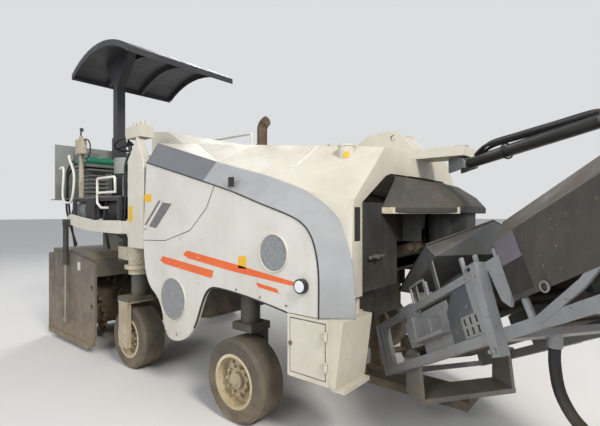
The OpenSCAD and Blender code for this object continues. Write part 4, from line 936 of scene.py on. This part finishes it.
for name, (radius, lines) in HOSES.items():
    piece(name, "chassis", rubber_black, [tube(smooth(line), radius, 10) for line in lines])

# Wheel nuts and hubs, from the rims' boxes, and fasteners on the side panel

NUTS = 10
NUT_CIRCLE = 108
# Columns: radius, thickness and sides of the hub's steps
HUB = ((62, 40, 32), (34, 52, 24))
NUT_INSET = 62                       # how deep the nuts start inside the rim's outer edge


def wheel_nuts(corner_name):
    """Ring of nuts and the hub's two steps on one wheel."""
    low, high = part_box("rim_" + corner_name)
    way = -1 if corner_name.endswith("right") else 1
    outer = low[1] if way < 0 else high[1]
    middle = Vector(((low[0] + high[0]) / 2, 0, (low[2] + high[2]) / 2)) * 1000
    face = (outer * 1000) - way * NUT_INSET
    parts = []
    for angle in [k * math.tau / NUTS for k in range(NUTS)]:
        place = (middle.x + NUT_CIRCLE * math.cos(angle), face, middle.z + NUT_CIRCLE * math.sin(angle))
        parts.append(disc(place, (0, way, 0), 13, 34, 6))
    for r, t, n in HUB:
        parts.append(disc((middle.x, face, middle.z), (0, way, 0), r, t, n))
    piece("wheel_nuts_" + corner_name, "wheel_" + corner_name, casting, parts, bevel=2)


for corner_name in ("front_right", "front_left", "rear_left", "rear_right"):
    wheel_nuts(corner_name)
# Columns: x and z of each bolt
BOLTS = ((-1290, 2090), (-1290, 1500), (560, 1010), (300, 1035), (40, 1062), (-760, 560), (-930, 560))
bolts = [disc((x, -HALF - 1, z), OUTWARD, 9, 5, 6) for x, z in BOLTS]
piece("panel_bolts", "chassis", bolt_steel, bolts, bevel=1)

# Cushion of the operator's seat, blown up as cloth, in metres

CUSHION_ROOM = (0.05, 0.05, 0.03)    # how much smaller than its solid the cushion starts
CLOTH_FRAMES = 20
CLOTH_PRESSURE = 4
CUSHION_ROUND = 0.03
CUSHION_VOXEL = 0.008
CUSHION_SWELL = 0.016                # the most that a point may move
CUSHION_FOOT = -0.03                 # below this height the underside stays flat
SEAM_Y = 0.07
SEAM_HALF = 0.012
SEAM_DEPTH = 0.007


def blow_up(obj):
    """A few frames of cloth under pressure, without weight."""
    cloth = obj.modifiers.new("cloth", "CLOTH")
    cloth.settings.use_pressure = True
    cloth.settings.uniform_pressure_force = CLOTH_PRESSURE
    cloth.settings.effector_weights.gravity = 0
    for step in range(1, CLOTH_FRAMES + 1):
        bpy.context.scene.frame_set(step)
    bpy.ops.object.modifier_apply(modifier="cloth")
    bpy.context.scene.frame_set(1)


def settle_point(v, was):
    """Keep a swollen point near its start, the underside flat, and press the two seams in."""
    move = v.co - was
    if move.length > CUSHION_SWELL:
        v.co = was + move.normalized() * CUSHION_SWELL
    if was.z < CUSHION_FOOT:
        v.co.z = max(v.co.z, was.z)
    seam = min(abs(v.co.y + SEAM_Y), abs(v.co.y - SEAM_Y))
    if v.co.z > 0 and seam < SEAM_HALF:
        v.co.z -= SEAM_DEPTH * (1 - seam / SEAM_HALF)


def soft_cushion():
    """Green vinyl cushion in place of its plain solid."""
    low, high = (Vector(v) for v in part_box("seat_cushion"))
    bpy.ops.mesh.primitive_cube_add(location=(low + high) / 2)
    obj = bpy.context.object
    obj.name = "seat_cushion_soft"
    obj.scale = (high - low - Vector(CUSHION_ROOM)) / 2
    bpy.ops.object.transform_apply(scale=True)
    rounding = obj.modifiers.new("round", "BEVEL")
    rounding.width = CUSHION_ROUND
    rounding.segments = 4
    voxels = obj.modifiers.new("voxels", "REMESH")
    voxels.mode = "VOXEL"
    voxels.voxel_size = CUSHION_VOXEL
    for modifier in ("round", "voxels"):
        bpy.ops.object.modifier_apply(modifier=modifier)
    start = [v.co.copy() for v in obj.data.vertices]
    blow_up(obj)
    for v, was in zip(obj.data.vertices, start):
        settle_point(v, was)
    obj.modifiers.new("fine", "SUBSURF").levels = 1
    obj.data.shade_smooth()
    obj.data.materials.append(seat_vinyl)
    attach(obj, "chassis")
    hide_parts("seat_cushion")


soft_cushion()

# Stage: pale floor and soft studio light

FLOOR_REACH = 120
SKY = (0.62, 0.65, 0.70, 1)
SKY_SEEN = (0.80, 0.81, 0.82, 1)
SKY_STRENGTH = 0.9


def studio_floor():
    """Wide pale floor with faint patches."""
    s = FLOOR_REACH
    mesh = bpy.data.meshes.new("studio_floor")
    mesh.from_pydata([(-s, -s, 0), (s, -s, 0), (s, s, 0), (-s, s, 0)], [], [(0, 1, 2, 3)])
    floor = bpy.data.objects.new("studio_floor", mesh)
    bpy.context.collection.objects.link(floor)
    g = Graph("studio_floor")
    colour = g.blend(g.span(g.noise(0.6, 5), 0.3, 0.7), linear("#d3d1cd"), linear("#d0cdc9"))
    g.feed(g.shader.inputs["Base Color"], colour)
    g.shader.inputs["Roughness"].default_value = 0.85
    floor.data.materials.append(g.material)


def lamp(name, place, target, size, power, colour=(1, 1, 1)):
    """Round area lamp that points at a target. Metres and watts."""
    data = bpy.data.lights.new(name, "AREA")
    data.shape = "DISK"
    data.size = size
    data.energy = power
    data.color = colour
    light = bpy.data.objects.new(name, data)
    light.location = place
    light.rotation_euler = (Vector(target) - Vector(place)).to_track_quat("-Z", "Y").to_euler()
    bpy.context.collection.objects.link(light)


def studio_world():
    """Even light all round, with a paler background where the camera sees it."""
    world = bpy.data.worlds.new("studio")
    bpy.context.scene.world = world
    world.use_nodes = True
    tree = world.node_tree
    path = tree.nodes.new("ShaderNodeLightPath")
    mix_sky = tree.nodes.new("ShaderNodeMix")
    mix_sky.data_type = "RGBA"
    mix_sky.inputs[6].default_value = SKY
    mix_sky.inputs[7].default_value = SKY_SEEN
    tree.links.new(path.outputs["Is Camera Ray"], mix_sky.inputs["Factor"])
    tree.links.new(mix_sky.outputs[2], tree.nodes["Background"].inputs["Color"])
    tree.nodes["Background"].inputs["Strength"].default_value = SKY_STRENGTH


studio_floor()
lamp("key", (9.0, -4.0, 9.0), (0, -0.5, 1.0), 3.0, 1300, (1.0, 0.96, 0.9))
lamp("fill", (1.0, -12.0, 6.0), (-0.5, 0, 1.2), 8.0, 700, (0.95, 0.97, 1.0))
lamp("back", (-9.0, 7.0, 8.0), (0, 0, 1.2), 6.0, 600)
studio_world()
bpy.context.scene.view_settings.view_transform = "Standard"
